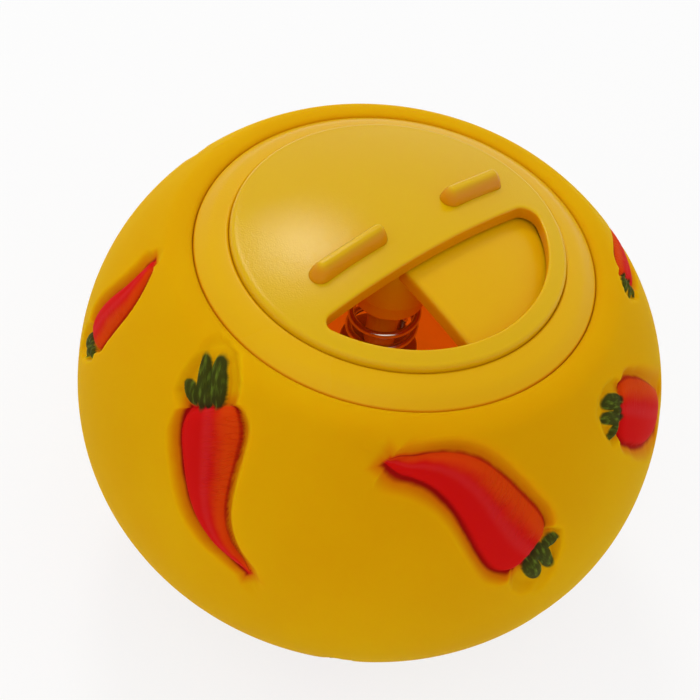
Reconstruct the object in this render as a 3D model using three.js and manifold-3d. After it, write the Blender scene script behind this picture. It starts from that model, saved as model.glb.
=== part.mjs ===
// Treat dispensing ball for rabbits and other small pets, in millimetres, +Z up.
// The origin is the middle of the small flat foot that the ball stands on, and the shutter's
// straight edge runs along Y.
// A soft hollow ball with sunken carrots holds a rigid snap-in lid. The lid is a ring with a
// half-round shutter, and a dial with a half-moon window turns over that shutter to set the opening.
import * as THREE from "three";
import { mergeVertices } from "three/addons/utils/BufferGeometryUtils.js";
import Module from "manifold-3d";

const wasm = await Module();
wasm.setup();

// The ball
const BALL_RADIUS = 37.5;
const CROWN_HEIGHT = 32.6; // from the widest girth to where the full crown would close
const BASE_HEIGHT = 30.8; // from the widest girth to where the full base would close
const FULLNESS = 2.13; // exponent of the side's curve: 2 is an ellipse, more is squarer
const FOOT_CUT = 0.5; // how much of the base is flattened into the foot
const BALL_WALL = 2.2;
const SHOULDER_RADIUS = 28.6; // where the crown's curve gives way to the rounded shoulder
const SHOULDER_ROUND = 1.4; // how far inside the shoulder its rounding turns level
const LIP_RISE = 0.15; // how far the lip stands over the flange's outer edge
const MOUTH_NECK_RADIUS = 21.6; // the hole that the lid snaps through
const NECK_THICKNESS = 2.2;
const NECK_REACH = 6.4; // how far the thick neck runs outwards under the seat
const NECK_BEVEL = 1.6; // of the neck's underside, where it meets the wall

// The lid's ring, its ledge and its shutter
const FLANGE_RADIUS = 24.5;
const FLANGE_EDGE_HEIGHT = 23.2; // top of the flange's outer edge, above the widest girth
const FLANGE_THICKNESS = 1.5;
const FLANGE_ROUND = 0.45;
const FLANGE_CROWN = 0.25; // how far the flange's top swells over a straight cone
const WELL_BEVEL = 0.3; // of the flange's inner edge, beside the dial
const FLANGE_INNER_HEIGHT = 25.4; // top of the flange beside the dial, above the widest girth
const SKIRT_WALL = 1.8;
const SKIRT_DROP = 4.2; // below the flange's underside
const SNAP_BEAD = 0.25; // how far the skirt's bead stands out, just inside the relaxed neck
const SNAP_BEAD_HEIGHT = 1.2;
const SKIRT_LEAD_IN = 0.5; // how far the skirt's lower edge draws in
const OPENING_RADIUS = 18.0; // the round side of the lid's half opening
const LEDGE_THICKNESS = 1.6;
const LEDGE_SPLAY = 0.6; // how much thicker the ledge is at the skirt
const SHUTTER_THICKNESS = 2.0;
const SHUTTER_OVERLAP = 3.3; // how far the shutter reaches past the axis
const SHUTTER_JOIN = 0.3; // how far the shutter's round side runs into the ledge
const HUB_RADIUS = 5.2;
const HUB_LENGTH = 6.2; // from the shutter's underside to the step
const HUB_NOSE_RADIUS = 4.6;
const HUB_NOSE_LENGTH = 2.2;
const HUB_BEVEL = 0.3;

// The dial
const DIAL_RADIUS = 20.3;
const DIAL_APEX_HEIGHT = 29.0; // top of the dome, above the widest girth
const DOME_RADIUS = 73; // of the dial's spherical dome
const DIAL_THICKNESS = 1.8;
const DIAL_RIM_WIDTH = 1.4;
const DIAL_RIM_ROUND = 0.6;
const DIAL_RIM_DROP = 0.2; // how far the rim reaches below the dome's own underside
const WINDOW_RADIUS = 18.2;
const WINDOW_OFFSET = 5.0; // from the axis to the window's straight side
const WINDOW_WIDE_CORNER = 1.8; // rounding of the window's corner on +X
const WINDOW_TIGHT_CORNER = 1.2; // and of its corner on -X
const DIAL_TURN = 2.2; // degrees that the window stands past square to the shutter's edge
const GRIP_WIDTH = 2.1;
const GRIP_HEIGHT = 1.0;
const GRIP_END_HALF = 0.35; // half the width of the flat at each end of a grip
const GRIP_SPANS = [
  [-14.5, -3.6],
  [6.9, 16.3],
]; // start and end of each grip along the dial's diameter
const POST_RADIUS = 2.0;

// The spring, its washer and the screw
const WIRE_DIAMETER = 0.9;
const COIL_RADIUS = 4.15; // to the middle of the wire
const COIL_TURNS = 2.25;
const COIL_PITCH = 2.4;
const WIRE_END = 1.5 * WIRE_DIAMETER; // of each end, straight for a wire's width and then bending
const WASHER_RADIUS = 5.0;
const WASHER_THICKNESS = 0.8;
const SCREW_RADIUS = 1.2;
const SCREW_DEPTH = 7; // how far the screw reaches into the post
const SCREW_HEAD_RADIUS = 2.8;
const SCREW_HEAD_HEIGHT = 1.7;
const DRIVE_WIDTH = 0.9;
const DRIVE_DEPTH = 0.9;

// Clearances
const FIT_GAP = 0.35; // round the flange and round the dial
const RUN_GAP = 0.4; // between the dial and the shutter, and round the post
const SEAT_GAP = 0.3; // between faces that rest on each other

// The carrots: a bent, tapering root with a tuft of leaves, sunk into the ball's wall
const ROOT_LENGTH = 21.5;
const ROOT_HALF_WIDTH = 4.5;
const ROOT_BEND = 2.6; // how far the root's middle line bows to its full side
const TUFT_LENGTH = 5.4;
const POCKET_DEPTH = 1.35;
const POCKET_MARGIN = 0.35; // flat floor round the root
const POCKET_SLOPE = 0.6; // width of the sloping wall round the floor
const CREST_DEPTH = 0.05; // the root's crest lies this far under the ball's surface
const CROWN_SINK = 0.45; // and its two ends this much further
const TIP_SINK = 0.35;
const RELIEF_ROOTING = 0.35; // how far the carrot is rooted in the wall under its pocket
const CUTTER_RISE = 0.6; // how far the pocket's cutter stands out of the ball

// Each carrot: turn round the ball of its middle, the height of its middle above the girth as a
// share of the crown's height, or below it as one of the base's, the heading of its tip from east
// towards the crown, in degrees, and its size, width, bow and tuft against a full carrot's
const CARROTS = [
  { turn: 149, height: 0.529, heading: 108.2, size: 0.72, width: 1, bow: 1, tuft: 1 },
  { turn: -161.6, height: 0.336, heading: -57, size: 0.987, width: 0.974, bow: 1.04, tuft: 1.08 },
  { turn: -114.6, height: 0.476, heading: 142.5, size: 1.15, width: 0.915, bow: 1.05, tuft: 0.85 },
  { turn: -55.2, height: 0.333, heading: -41.6, size: 1.08, width: 1, bow: 0.5, tuft: 0.7 },
  { turn: -17.2, height: 0.655, heading: -2, size: 0.8, width: 1, bow: 1, tuft: 0.7 },
  { turn: 37, height: 0.383, heading: 122, size: 1, width: 1, bow: 1, tuft: 1 },
  { turn: 91, height: 0.245, heading: 62, size: 1, width: 1, bow: 1, tuft: 1 },
  { turn: -132.9, height: -0.682, heading: -90, size: 1, width: 1, bow: 1, tuft: 1 },
  { turn: -62, height: -0.487, heading: -6, size: 1, width: 1, bow: 1, tuft: 1 },
  { turn: 8, height: -0.52, heading: 172, size: 1, width: 1, bow: 1, tuft: 1 },
  { turn: 80, height: -0.487, heading: 8, size: 1, width: 1, bow: 1, tuft: 1 },
  { turn: 152, height: -0.52, heading: 176, size: 1, width: 1, bow: 1, tuft: 1 },
];

// Facets
const BALL_SEGMENTS = 48;
const LID_SEGMENTS = 48;
const SMALL_SEGMENTS = 24;
const COIL_STEPS_PER_TURN = 8;
const WIRE_SIDES = 5;
const END_STEPS = 8; // for the spring's two straight ends
const MERGE_DISTANCE = 0.003; // corners that a cut leaves closer than this are one corner
const JOIN_DEPTH = 0.05; // how far one form of a piece runs into the next
const CUT_THROUGH = 1; // how far a cutter runs past what it cuts

// Heights that follow from the sizes above, measured from the foot
const GIRTH_Z = BASE_HEIGHT - FOOT_CUT;
const MOUTH_RADIUS = FLANGE_RADIUS + FIT_GAP;
const SEAT_Z = GIRTH_Z + FLANGE_EDGE_HEIGHT - FLANGE_THICKNESS - SEAT_GAP;
const FLANGE_UNDER_Z = SEAT_Z + SEAT_GAP;
const SKIRT_RADIUS = MOUTH_NECK_RADIUS - FIT_GAP - SNAP_BEAD / 2;
const SKIRT_BOTTOM_Z = FLANGE_UNDER_Z - SKIRT_DROP;
const DIAL_WELL_RADIUS = DIAL_RADIUS + FIT_GAP;
const DIAL_APEX_Z = GIRTH_Z + DIAL_APEX_HEIGHT;
const domeDrop = (r) => (r * r) / (2 * DOME_RADIUS);
const DIAL_UNDER_APEX_Z = DIAL_APEX_Z - DIAL_THICKNESS;
const DIAL_RIM_BOTTOM_Z = DIAL_UNDER_APEX_Z - domeDrop(DIAL_RADIUS) - DIAL_RIM_DROP;
const LEDGE_TOP_Z = DIAL_RIM_BOTTOM_Z - SEAT_GAP;
const SHUTTER_APEX_Z = DIAL_UNDER_APEX_Z - RUN_GAP;
const HUB_TOP_Z = SHUTTER_APEX_Z - SHUTTER_THICKNESS + JOIN_DEPTH;
const HUB_STEP_Z = HUB_TOP_Z - HUB_LENGTH;
const HUB_BOTTOM_Z = HUB_STEP_Z - HUB_NOSE_LENGTH;
const SPRING_TOP_Z = HUB_BOTTOM_Z - SEAT_GAP;
const SPRING_HEIGHT = COIL_TURNS * COIL_PITCH + 2 * WIRE_END;
const SPRING_BOTTOM_Z = SPRING_TOP_Z - SPRING_HEIGHT;
const WASHER_TOP_Z = SPRING_BOTTOM_Z - SEAT_GAP;
const WASHER_BOTTOM_Z = WASHER_TOP_Z - WASHER_THICKNESS;
const POST_BOTTOM_Z = WASHER_TOP_Z + SEAT_GAP;
const SCREW_HEAD_TOP_Z = WASHER_BOTTOM_Z - SEAT_GAP;
const HUB_BORE_RADIUS = POST_RADIUS + RUN_GAP;
const PILOT_RADIUS = SCREW_RADIUS + SEAT_GAP;

// Solids from geometries, and back

// A closed geometry as a solid: shared corners merged and collapsed triangles dropped.
function solid(geometry) {
  const plain = geometry.index ? geometry.toNonIndexed() : geometry.clone();
  plain.deleteAttribute("normal");
  plain.deleteAttribute("uv");
  const merged = mergeVertices(plain, 1e-4);
  const index = merged.index.array;
  const kept = [];
  for (let i = 0; i < index.length; i += 3) {
    const [a, b, c] = [index[i], index[i + 1], index[i + 2]];
    if (a !== b && b !== c && c !== a) kept.push(a, b, c);
  }
  return new wasm.Manifold(
    new wasm.Mesh({
      numProp: 3,
      vertProperties: merged.attributes.position.array,
      triVerts: new Uint32Array(kept),
      tolerance: MERGE_DISTANCE,
    }),
  );
}

// A solid without the pinholes that a leaf and the pocket may close off between them.
function outerSkin(body) {
  return body.decompose().reduce((most, part) => (part.volume() > most.volume() ? part : most));
}

// A solid as a named mesh with its own material.
function piece(name, body, colour, roughness, metalness) {
  const made = body.getMesh();
  const corners = new Float32Array(made.numVert * 3);
  for (let i = 0; i < made.numVert; i++) {
    const start = i * made.numProp;
    corners.set(made.vertProperties.subarray(start, start + 3), i * 3);
  }
  const geometry = new THREE.BufferGeometry();
  geometry.setAttribute("position", new THREE.BufferAttribute(corners, 3));
  geometry.setIndex(new THREE.BufferAttribute(made.triVerts, 1));
  geometry.computeVertexNormals();
  const material = new THREE.MeshStandardMaterial({ color: colour, roughness, metalness });
  const mesh = new THREE.Mesh(geometry, material);
  mesh.name = name;
  return mesh;
}

// A profile of [radius, height] pairs, anticlockwise seen with the axis on the left, turned about Z.
function revolve(profile, segments) {
  const points = profile.map(([r, z]) => new THREE.Vector2(Math.max(r, 0), z));
  const geometry = new THREE.LatheGeometry(points, segments);
  geometry.rotateX(Math.PI / 2);
  return solid(geometry);
}

// A flat outline extruded along Z from one height to another.
function prism(shape, from, to, curveSegments = 24) {
  const geometry = new THREE.ExtrudeGeometry(shape, {
    depth: to - from,
    bevelEnabled: false,
    curveSegments,
  });
  geometry.translate(0, 0, from);
  return solid(geometry);
}

function cylinder(radius, from, to, segments = SMALL_SEGMENTS) {
  return revolve([[0, from], [radius, from], [radius, to], [0, to]], segments);
}

// A closed skin over rings of equally many points, with a flat fan over each end.
function skin(rings) {
  const count = rings[0].length;
  const corners = [];
  const middle = (ring) =>
    ring.reduce((sum, p) => sum.add(p), new THREE.Vector3()).divideScalar(ring.length);
  const face = (...points) => points.forEach((p) => corners.push(p.x, p.y, p.z));
  for (let k = 0; k + 1 < rings.length; k++) {
    for (let i = 0; i < count; i++) {
      const j = (i + 1) % count;
      face(rings[k][i], rings[k][j], rings[k + 1][j]);
      face(rings[k][i], rings[k + 1][j], rings[k + 1][i]);
    }
  }
  const first = rings[0];
  const last = rings[rings.length - 1];
  const firstMiddle = middle(first);
  const lastMiddle = middle(last);
  for (let i = 0; i < count; i++) {
    const j = (i + 1) % count;
    face(firstMiddle, first[j], first[i]);
    face(lastMiddle, last[i], last[j]);
  }
  const geometry = new THREE.BufferGeometry();
  geometry.setAttribute("position", new THREE.Float32BufferAttribute(corners, 3));
  return solid(geometry);
}

// The ball's curve

// A point of the ball's side at an angle above the girth, for a ball of a given radius and rise.
function sidePoint(angle, radius, rise) {
  const power = 2 / FULLNESS;
  const height = rise * Math.abs(Math.sin(angle)) ** power * Math.sign(angle);
  return [radius * Math.cos(angle) ** power, GIRTH_Z + height];
}

// The angle at which that curve has a given radius, or a given height from the girth.
const angleAtRadius = (r, radius) => Math.acos((r / radius) ** (FULLNESS / 2));
const angleAtHeight = (h, rise) => Math.asin((h / rise) ** (FULLNESS / 2));

function sideCurve(from, to, steps, radius, riseUp, riseDown) {
  return Array.from({ length: steps + 1 }, (_, i) => {
    const angle = from + ((to - from) * i) / steps;
    return sidePoint(angle, radius, angle < 0 ? riseDown : riseUp);
  });
}

// The rounded shoulder between the side and the lip, as [radius, height] control points.
const LIP_Z = GIRTH_Z + FLANGE_EDGE_HEIGHT + LIP_RISE;
const SHOULDER = [
  sidePoint(angleAtRadius(SHOULDER_RADIUS, BALL_RADIUS), BALL_RADIUS, CROWN_HEIGHT),
  [SHOULDER_RADIUS - SHOULDER_ROUND, LIP_Z + LIP_RISE],
  [MOUTH_RADIUS, LIP_Z],
].map(([r, z]) => new THREE.Vector2(r, z));

// The height of the shoulder at a radius, and of the flat lip inside it.
function shoulderHeight(r) {
  const [a, b, c] = SHOULDER;
  if (r <= c.x) return c.y;
  const bend = a.x - 2 * b.x + c.x;
  const run = a.x - b.x;
  const t = (run - Math.sqrt(run * run - bend * (a.x - r))) / bend;
  return a.y * (1 - t) ** 2 + 2 * b.y * t * (1 - t) + c.y * t * t;
}

// Below zero inside the ball's outer surface and above zero outside it.
function ballLevel(p) {
  const height = p.z - GIRTH_Z;
  const rise = height > 0 ? CROWN_HEIGHT : BASE_HEIGHT;
  const r = Math.hypot(p.x, p.y);
  const side = (r / BALL_RADIUS) ** FULLNESS + (Math.abs(height) / rise) ** FULLNESS - 1;
  if (r > SHOULDER_RADIUS || height < 0) return side;
  return Math.max(side, (p.z - shoulderHeight(r)) / BALL_RADIUS);
}

// The ball's outward normal at a point of its surface.
function ballNormal(p) {
  const height = p.z - GIRTH_Z;
  const rise = height > 0 ? CROWN_HEIGHT : BASE_HEIGHT;
  const r = Math.hypot(p.x, p.y);
  const outward = (r / BALL_RADIUS) ** (FULLNESS - 1) / BALL_RADIUS;
  const upward = (Math.sign(height) * (Math.abs(height) / rise) ** (FULLNESS - 1)) / rise;
  return new THREE.Vector3((p.x / r) * outward, (p.y / r) * outward, upward).normalize();
}

// The carrots

// The middle of a carrot on the ball, with its normal, its direction and its sideways direction.
function carrotPlace({ turn, height, heading }) {
  const round = THREE.MathUtils.degToRad(turn);
  const rise = height > 0 ? CROWN_HEIGHT : BASE_HEIGHT;
  const angle = Math.sign(height) * angleAtHeight(Math.abs(height) * rise, rise);
  const [r, z] = sidePoint(angle, BALL_RADIUS, rise);
  const middle = new THREE.Vector3(r * Math.cos(round), r * Math.sin(round), z);
  const normal = ballNormal(middle);
  const east = new THREE.Vector3(-Math.sin(round), Math.cos(round), 0);
  const north = normal.clone().cross(east);
  const along = THREE.MathUtils.degToRad(heading);
  const forward = east.multiplyScalar(Math.cos(along)).addScaledVector(north, Math.sin(along));
  return { middle, normal, forward, sideways: normal.clone().cross(forward) };
}

// The point that lies s along a carrot and t across it, h above the ball's surface.
function onBall(place, s, t, h) {
  const start = place.middle.clone().addScaledVector(place.forward, s).addScaledVector(place.sideways, t);
  let above = -2;
  let below = 14;
  for (let i = 0; i < 30; i++) {
    const depth = (above + below) / 2;
    const inside = ballLevel(start.clone().addScaledVector(place.normal, -depth)) < 0;
    if (inside) below = depth;
    else above = depth;
  }
  const surface = start.addScaledVector(place.normal, -above);
  return surface.clone().addScaledVector(ballNormal(surface), h);
}

// Half the root's width at a share of its length from the crown, and how far its middle line bows.
const ROOT_STATIONS = [0, 0.06, 0.18, 0.34, 0.52, 0.72, 0.9, 1];
function rootHalfWidth(share) {
  const shoulder = 1 - 0.42 * Math.exp(-share / 0.062);
  const taper = share < 0.24 ? 1 : 1 - 0.94 * ((share - 0.24) / 0.76) ** 0.86;
  return ROOT_HALF_WIDTH * shoulder * taper;
}
function rootBow(share) {
  const rising = Math.sin(Math.PI * Math.min(1, share / 0.97) ** 1.7);
  return -ROOT_BEND * rising + 0.3 * share;
}

// The pocket along the tuft: share of the tuft's length, half width, middle line and depth.
const POCKET_TUFT = [
  [1.08, 0.7, 0.3, 0.4],
  [0.82, 1.9, 0.2, 0.8],
  [0.4, 3.2, -0.3, 1.0],
];

// A cutter for the pocket that the root and the tuft lie in.
function carrotPocket(carrot) {
  const place = carrotPlace(carrot);
  const { size, width, bow } = carrot;
  const tuftLength = TUFT_LENGTH * carrot.tuft;
  const tuft = POCKET_TUFT.map(([k, half, middle, depth]) => ({
    share: (-k * tuftLength) / ROOT_LENGTH,
    half: half * width,
    middle,
    depth,
  }));
  const root = ROOT_STATIONS.map((share) => ({
    share,
    half: rootHalfWidth(share) * width,
    middle: rootBow(share) * bow,
    depth: POCKET_DEPTH * (share > 0.9 ? 0.55 : 1),
  }));
  const tail = { share: 1.05, half: 0.15, middle: rootBow(1) * bow, depth: 0.25 };
  const rings = [...tuft, ...root, tail].map(({ share, half, middle, depth }) => {
    const s = (share - 0.5) * ROOT_LENGTH * size;
    const floor = (half + POCKET_MARGIN) * size;
    const brim = floor + POCKET_SLOPE * size * (depth / POCKET_DEPTH);
    const top = brim + (brim - floor) * (CUTTER_RISE / depth);
    const mid = middle * size;
    const section = [
      [-top, CUTTER_RISE],
      [-floor, -depth],
      [floor, -depth],
      [top, CUTTER_RISE],
      [0, CUTTER_RISE],
    ];
    return section.map(([t, h]) => onBall(place, s, mid + t, h));
  });
  return skin(rings);
}

// The tuft's three leaves: where each starts beside the crown and where its tip lies, across the
// carrot, how far it reaches as a share of the tuft, and half its width.
const LEAVES = [
  { from: -1.7, to: -2.9, reach: 0.6, half: 0.9 },
  { from: 0.1, to: -0.5, reach: 1.05, half: 0.9 },
  { from: 1.8, to: 1.6, reach: 0.95, half: 0.9 },
];
const TUFT_STATIONS = [1.05, 0.85, 0.5, 0.1];
const LEAF_CREST = -0.25;
const VALLEY = -1.3; // between two leaves, under the floor of the pocket
const LOW_EDGE = -0.8;

// Across the tuft at a share of its length: three ridges with valleys between them.
function tuftSection(share, buried, width) {
  const ridge = ({ from, to, reach, half }) => {
    const gone = share > reach;
    const narrow = gone ? 0.35 : 1 - 0.6 * Math.max(0, share / reach - 0.55);
    const t = (from + (to - from) * Math.min(1, share / reach)) * width;
    return { t, half: half * narrow * width, h: gone ? VALLEY : LEAF_CREST };
  };
  const [left, middle, right] = LEAVES.map(ridge);
  return [
    [left.t - left.half, buried],
    [left.t - left.half, left.h > VALLEY ? LOW_EDGE : VALLEY - 0.1],
    [left.t, left.h],
    [(left.t + middle.t) / 2, VALLEY],
    [middle.t, middle.h],
    [(middle.t + right.t) / 2, VALLEY],
    [right.t, right.h],
    [right.t + right.half, right.h > VALLEY ? LOW_EDGE : VALLEY - 0.1],
    [right.t + right.half, buried],
  ];
}

// Across the root at a share of its length: a half-round that sinks a little towards both ends.
function rootSection(share, buried, width, bow) {
  const half = rootHalfWidth(share) * width;
  const mid = rootBow(share) * bow;
  const sink = share === 0 ? CROWN_SINK : share > 0.9 ? TIP_SINK : 0;
  const rise = POCKET_DEPTH - CREST_DEPTH - sink;
  const across = [
    [-1, 0.1],
    [-0.78, 0.62],
    [-0.42, 0.91],
    [0, 1],
    [0.42, 0.91],
    [0.78, 0.62],
    [1, 0.1],
  ].map(([t, h]) => [mid + t * half, h * rise - POCKET_DEPTH]);
  return [[mid - half, buried], ...across, [mid + half, buried]];
}

// The raised carrot, leaves and root in one skin, rooted in the wall below the pocket's floor.
function carrotRelief(carrot) {
  const place = carrotPlace(carrot);
  const { size, width, bow } = carrot;
  const tuftLength = TUFT_LENGTH * carrot.tuft;
  const buried = -POCKET_DEPTH - RELIEF_ROOTING;
  const tuft = TUFT_STATIONS.map((share) => ({
    s: -ROOT_LENGTH / 2 - share * tuftLength,
    section: tuftSection(share, buried, width),
  }));
  const root = ROOT_STATIONS.map((share) => ({
    s: (share - 0.5) * ROOT_LENGTH,
    section: rootSection(share, buried, width, bow),
  }));
  const rings = [...tuft, ...root].map(({ s, section }) =>
    section.map(([t, h]) => onBall(place, s * size, t * size, h)),
  );
  return skin(rings);
}

// The pieces

function ballBody() {
  const footAngle = -angleAtHeight(GIRTH_Z, BASE_HEIGHT);
  const shoulderAngle = angleAtRadius(SHOULDER_RADIUS, BALL_RADIUS);
  const side = sideCurve(footAngle, shoulderAngle, 15, BALL_RADIUS, CROWN_HEIGHT, BASE_HEIGHT);
  const shoulder = new THREE.QuadraticBezierCurve(...SHOULDER).getPoints(3).slice(1);
  const lip = shoulder.map((p) => [p.x, p.y]);

  const innerRadius = BALL_RADIUS - BALL_WALL;
  const neckR = MOUTH_NECK_RADIUS + NECK_REACH;
  const neckAngle = angleAtRadius(neckR, innerRadius);
  const inner = sideCurve(
    neckAngle,
    -Math.PI / 2,
    9,
    innerRadius,
    CROWN_HEIGHT - BALL_WALL,
    BASE_HEIGHT - BALL_WALL,
  );
  const neckBottomZ = SEAT_Z - NECK_THICKNESS;
  const profile = [
    [0, 0],
    ...side,
    ...lip,
    [MOUTH_RADIUS, SEAT_Z],
    [MOUTH_NECK_RADIUS, SEAT_Z],
    [MOUTH_NECK_RADIUS, neckBottomZ],
    [neckR - NECK_BEVEL, neckBottomZ],
    ...inner.slice(0, -1),
    [0, inner[inner.length - 1][1]],
  ];
  let body = revolve(profile, BALL_SEGMENTS);
  for (const carrot of CARROTS) body = body.subtract(carrotPocket(carrot));
  for (const carrot of CARROTS) body = body.add(carrotRelief(carrot));
  return piece("ball_body", outerSkin(body), 0xe0a800, 0.42, 0);
}

// A spherical shell like the dial's dome, with its top at a given height, out to a given radius.
function domeShell(apexZ, thickness, radius, steps = 4) {
  const top = Array.from({ length: steps + 1 }, (_, i) => (radius * i) / steps);
  const upper = top.map((r) => [r, apexZ - domeDrop(r)]).reverse();
  const lower = top.map((r) => [r, apexZ - thickness - domeDrop(r)]);
  return revolve([...lower, ...upper], LID_SEGMENTS);
}

function lidFrame() {
  const flangeTopZ = GIRTH_Z + FLANGE_EDGE_HEIGHT;
  const innerTopZ = GIRTH_Z + FLANGE_INNER_HEIGHT;
  const slope = (innerTopZ - flangeTopZ) / (FLANGE_RADIUS - DIAL_WELL_RADIUS);
  const ledgeBottomZ = LEDGE_TOP_Z - LEDGE_THICKNESS;
  const skirtInner = SKIRT_RADIUS - SKIRT_WALL;
  const beadR = SKIRT_RADIUS + SNAP_BEAD;
  const ring = revolve(
    [
      [OPENING_RADIUS, ledgeBottomZ],
      [skirtInner, ledgeBottomZ - LEDGE_SPLAY],
      [skirtInner, SKIRT_BOTTOM_Z],
      [SKIRT_RADIUS - SKIRT_LEAD_IN, SKIRT_BOTTOM_Z],
      [beadR, SKIRT_BOTTOM_Z + SNAP_BEAD_HEIGHT * 0.6],
      [SKIRT_RADIUS, SKIRT_BOTTOM_Z + SNAP_BEAD_HEIGHT],
      [SKIRT_RADIUS, FLANGE_UNDER_Z],
      [FLANGE_RADIUS, FLANGE_UNDER_Z],
      [FLANGE_RADIUS, flangeTopZ - FLANGE_ROUND],
      [FLANGE_RADIUS - FLANGE_ROUND * 0.3, flangeTopZ - FLANGE_ROUND * 0.3],
      [FLANGE_RADIUS - FLANGE_ROUND, flangeTopZ + slope * FLANGE_ROUND],
      [(FLANGE_RADIUS + DIAL_WELL_RADIUS) / 2, (flangeTopZ + innerTopZ) / 2 + FLANGE_CROWN],
      [DIAL_WELL_RADIUS + WELL_BEVEL, innerTopZ],
      [DIAL_WELL_RADIUS, innerTopZ - WELL_BEVEL],
      [DIAL_WELL_RADIUS, LEDGE_TOP_Z],
      [OPENING_RADIUS, LEDGE_TOP_Z],
      [OPENING_RADIUS, ledgeBottomZ],
    ],
    LID_SEGMENTS,
  );
  const shutterSide = new THREE.Shape();
  const reach = OPENING_RADIUS + SHUTTER_JOIN;
  const half = Math.sqrt(reach ** 2 - SHUTTER_OVERLAP ** 2);
  const start = Math.atan2(-half, -SHUTTER_OVERLAP);
  shutterSide.absarc(0, 0, reach, start, -start, false);
  shutterSide.closePath();
  const shutterMask = prism(shutterSide, SKIRT_BOTTOM_Z, DIAL_APEX_Z, 40);
  const shutter = domeShell(SHUTTER_APEX_Z, SHUTTER_THICKNESS, reach + CUT_THROUGH).intersect(shutterMask);
  const hub = revolve(
    [
      [0, HUB_BOTTOM_Z],
      [HUB_NOSE_RADIUS, HUB_BOTTOM_Z],
      [HUB_NOSE_RADIUS, HUB_STEP_Z],
      [HUB_RADIUS, HUB_STEP_Z + HUB_BEVEL],
      [HUB_RADIUS, HUB_TOP_Z],
      [0, HUB_TOP_Z],
    ],
    32,
  );
  const bore = cylinder(HUB_BORE_RADIUS, HUB_BOTTOM_Z - CUT_THROUGH, DIAL_APEX_Z);
  return piece("lid_frame", ring.add(shutter).add(hub).subtract(bore), 0xe3b21c, 0.34, 0);
}

// The window: a half-moon with rounded corners, its straight side facing +Y.
function windowShape() {
  const corner = (round) => {
    const y = -WINDOW_OFFSET - round;
    const x = Math.sqrt((WINDOW_RADIUS - round) ** 2 - y ** 2);
    return { x, y, lean: Math.atan2(y, x) };
  };
  const wide = corner(WINDOW_WIDE_CORNER);
  const tight = corner(WINDOW_TIGHT_CORNER);
  const shape = new THREE.Shape();
  shape.absarc(wide.x, wide.y, WINDOW_WIDE_CORNER, Math.PI / 2, wide.lean, true);
  shape.absarc(0, 0, WINDOW_RADIUS, wide.lean, -Math.PI - tight.lean, true);
  shape.absarc(-tight.x, tight.y, WINDOW_TIGHT_CORNER, -Math.PI - tight.lean, -1.5 * Math.PI, true);
  shape.closePath();
  return shape;
}

// A grip: a pill-shaped bar that follows the dome, with a rounded top.
function grip(from, to) {
  const steps = [0, 0.04, 0.12, 0.3, 0.5, 0.7, 0.88, 0.96, 1];
  const length = to - from;
  const radius = GRIP_WIDTH / 2;
  const rings = steps.map((share) => {
    const x = from + length * share;
    const inset = Math.max(0, radius - Math.min(x - from, to - x));
    const half = Math.max(GRIP_END_HALF, Math.sqrt(Math.max(0, radius ** 2 - inset ** 2)));
    const surface = DIAL_APEX_Z - domeDrop(x);
    const lift = GRIP_HEIGHT * (share === 0 || share === 1 ? 0.55 : 1);
    const section = [
      [-half, -DIAL_THICKNESS / 2],
      [half, -DIAL_THICKNESS / 2],
      [half, lift * 0.5],
      [half * 0.62, lift * 0.92],
      [0, lift],
      [-half * 0.62, lift * 0.92],
      [-half, lift * 0.5],
    ];
    return section.map(([y, z]) => new THREE.Vector3(x, y, surface + z));
  });
  return skin(rings);
}

function dial() {
  const rimInner = DIAL_RADIUS - DIAL_RIM_WIDTH;
  const steps = 6;
  const edgeTopZ = DIAL_APEX_Z - domeDrop(DIAL_RADIUS) - DIAL_RIM_ROUND;
  const reach = DIAL_RADIUS - DIAL_RIM_ROUND;
  const top = Array.from({ length: steps + 1 }, (_, i) => (reach * (steps - i)) / steps);
  const under = Array.from({ length: 5 }, (_, i) => (rimInner * i) / 4);
  const disc = revolve(
    [
      ...under.map((r) => [r, DIAL_UNDER_APEX_Z - domeDrop(r)]),
      [rimInner + DIAL_RIM_DROP, DIAL_RIM_BOTTOM_Z],
      [DIAL_RADIUS, DIAL_RIM_BOTTOM_Z],
      [DIAL_RADIUS, edgeTopZ],
      [DIAL_RADIUS - DIAL_RIM_ROUND * 0.3, edgeTopZ + DIAL_RIM_ROUND * 0.7],
      ...top.map((r) => [r, DIAL_APEX_Z - domeDrop(r)]),
    ],
    LID_SEGMENTS,
  );
  const opening = prism(windowShape(), HUB_BOTTOM_Z, DIAL_APEX_Z + CUT_THROUGH, 20);
  const post = cylinder(POST_RADIUS, POST_BOTTOM_Z, DIAL_UNDER_APEX_Z + JOIN_DEPTH);
  const pilot = cylinder(PILOT_RADIUS, POST_BOTTOM_Z - CUT_THROUGH, POST_BOTTOM_Z + SCREW_DEPTH + SEAT_GAP);
  let body = disc.subtract(opening).add(post).subtract(pilot);
  for (const [from, to] of GRIP_SPANS) body = body.add(grip(from, to));
  return piece("dial", body, 0xe6b420, 0.32, 0);
}

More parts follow.
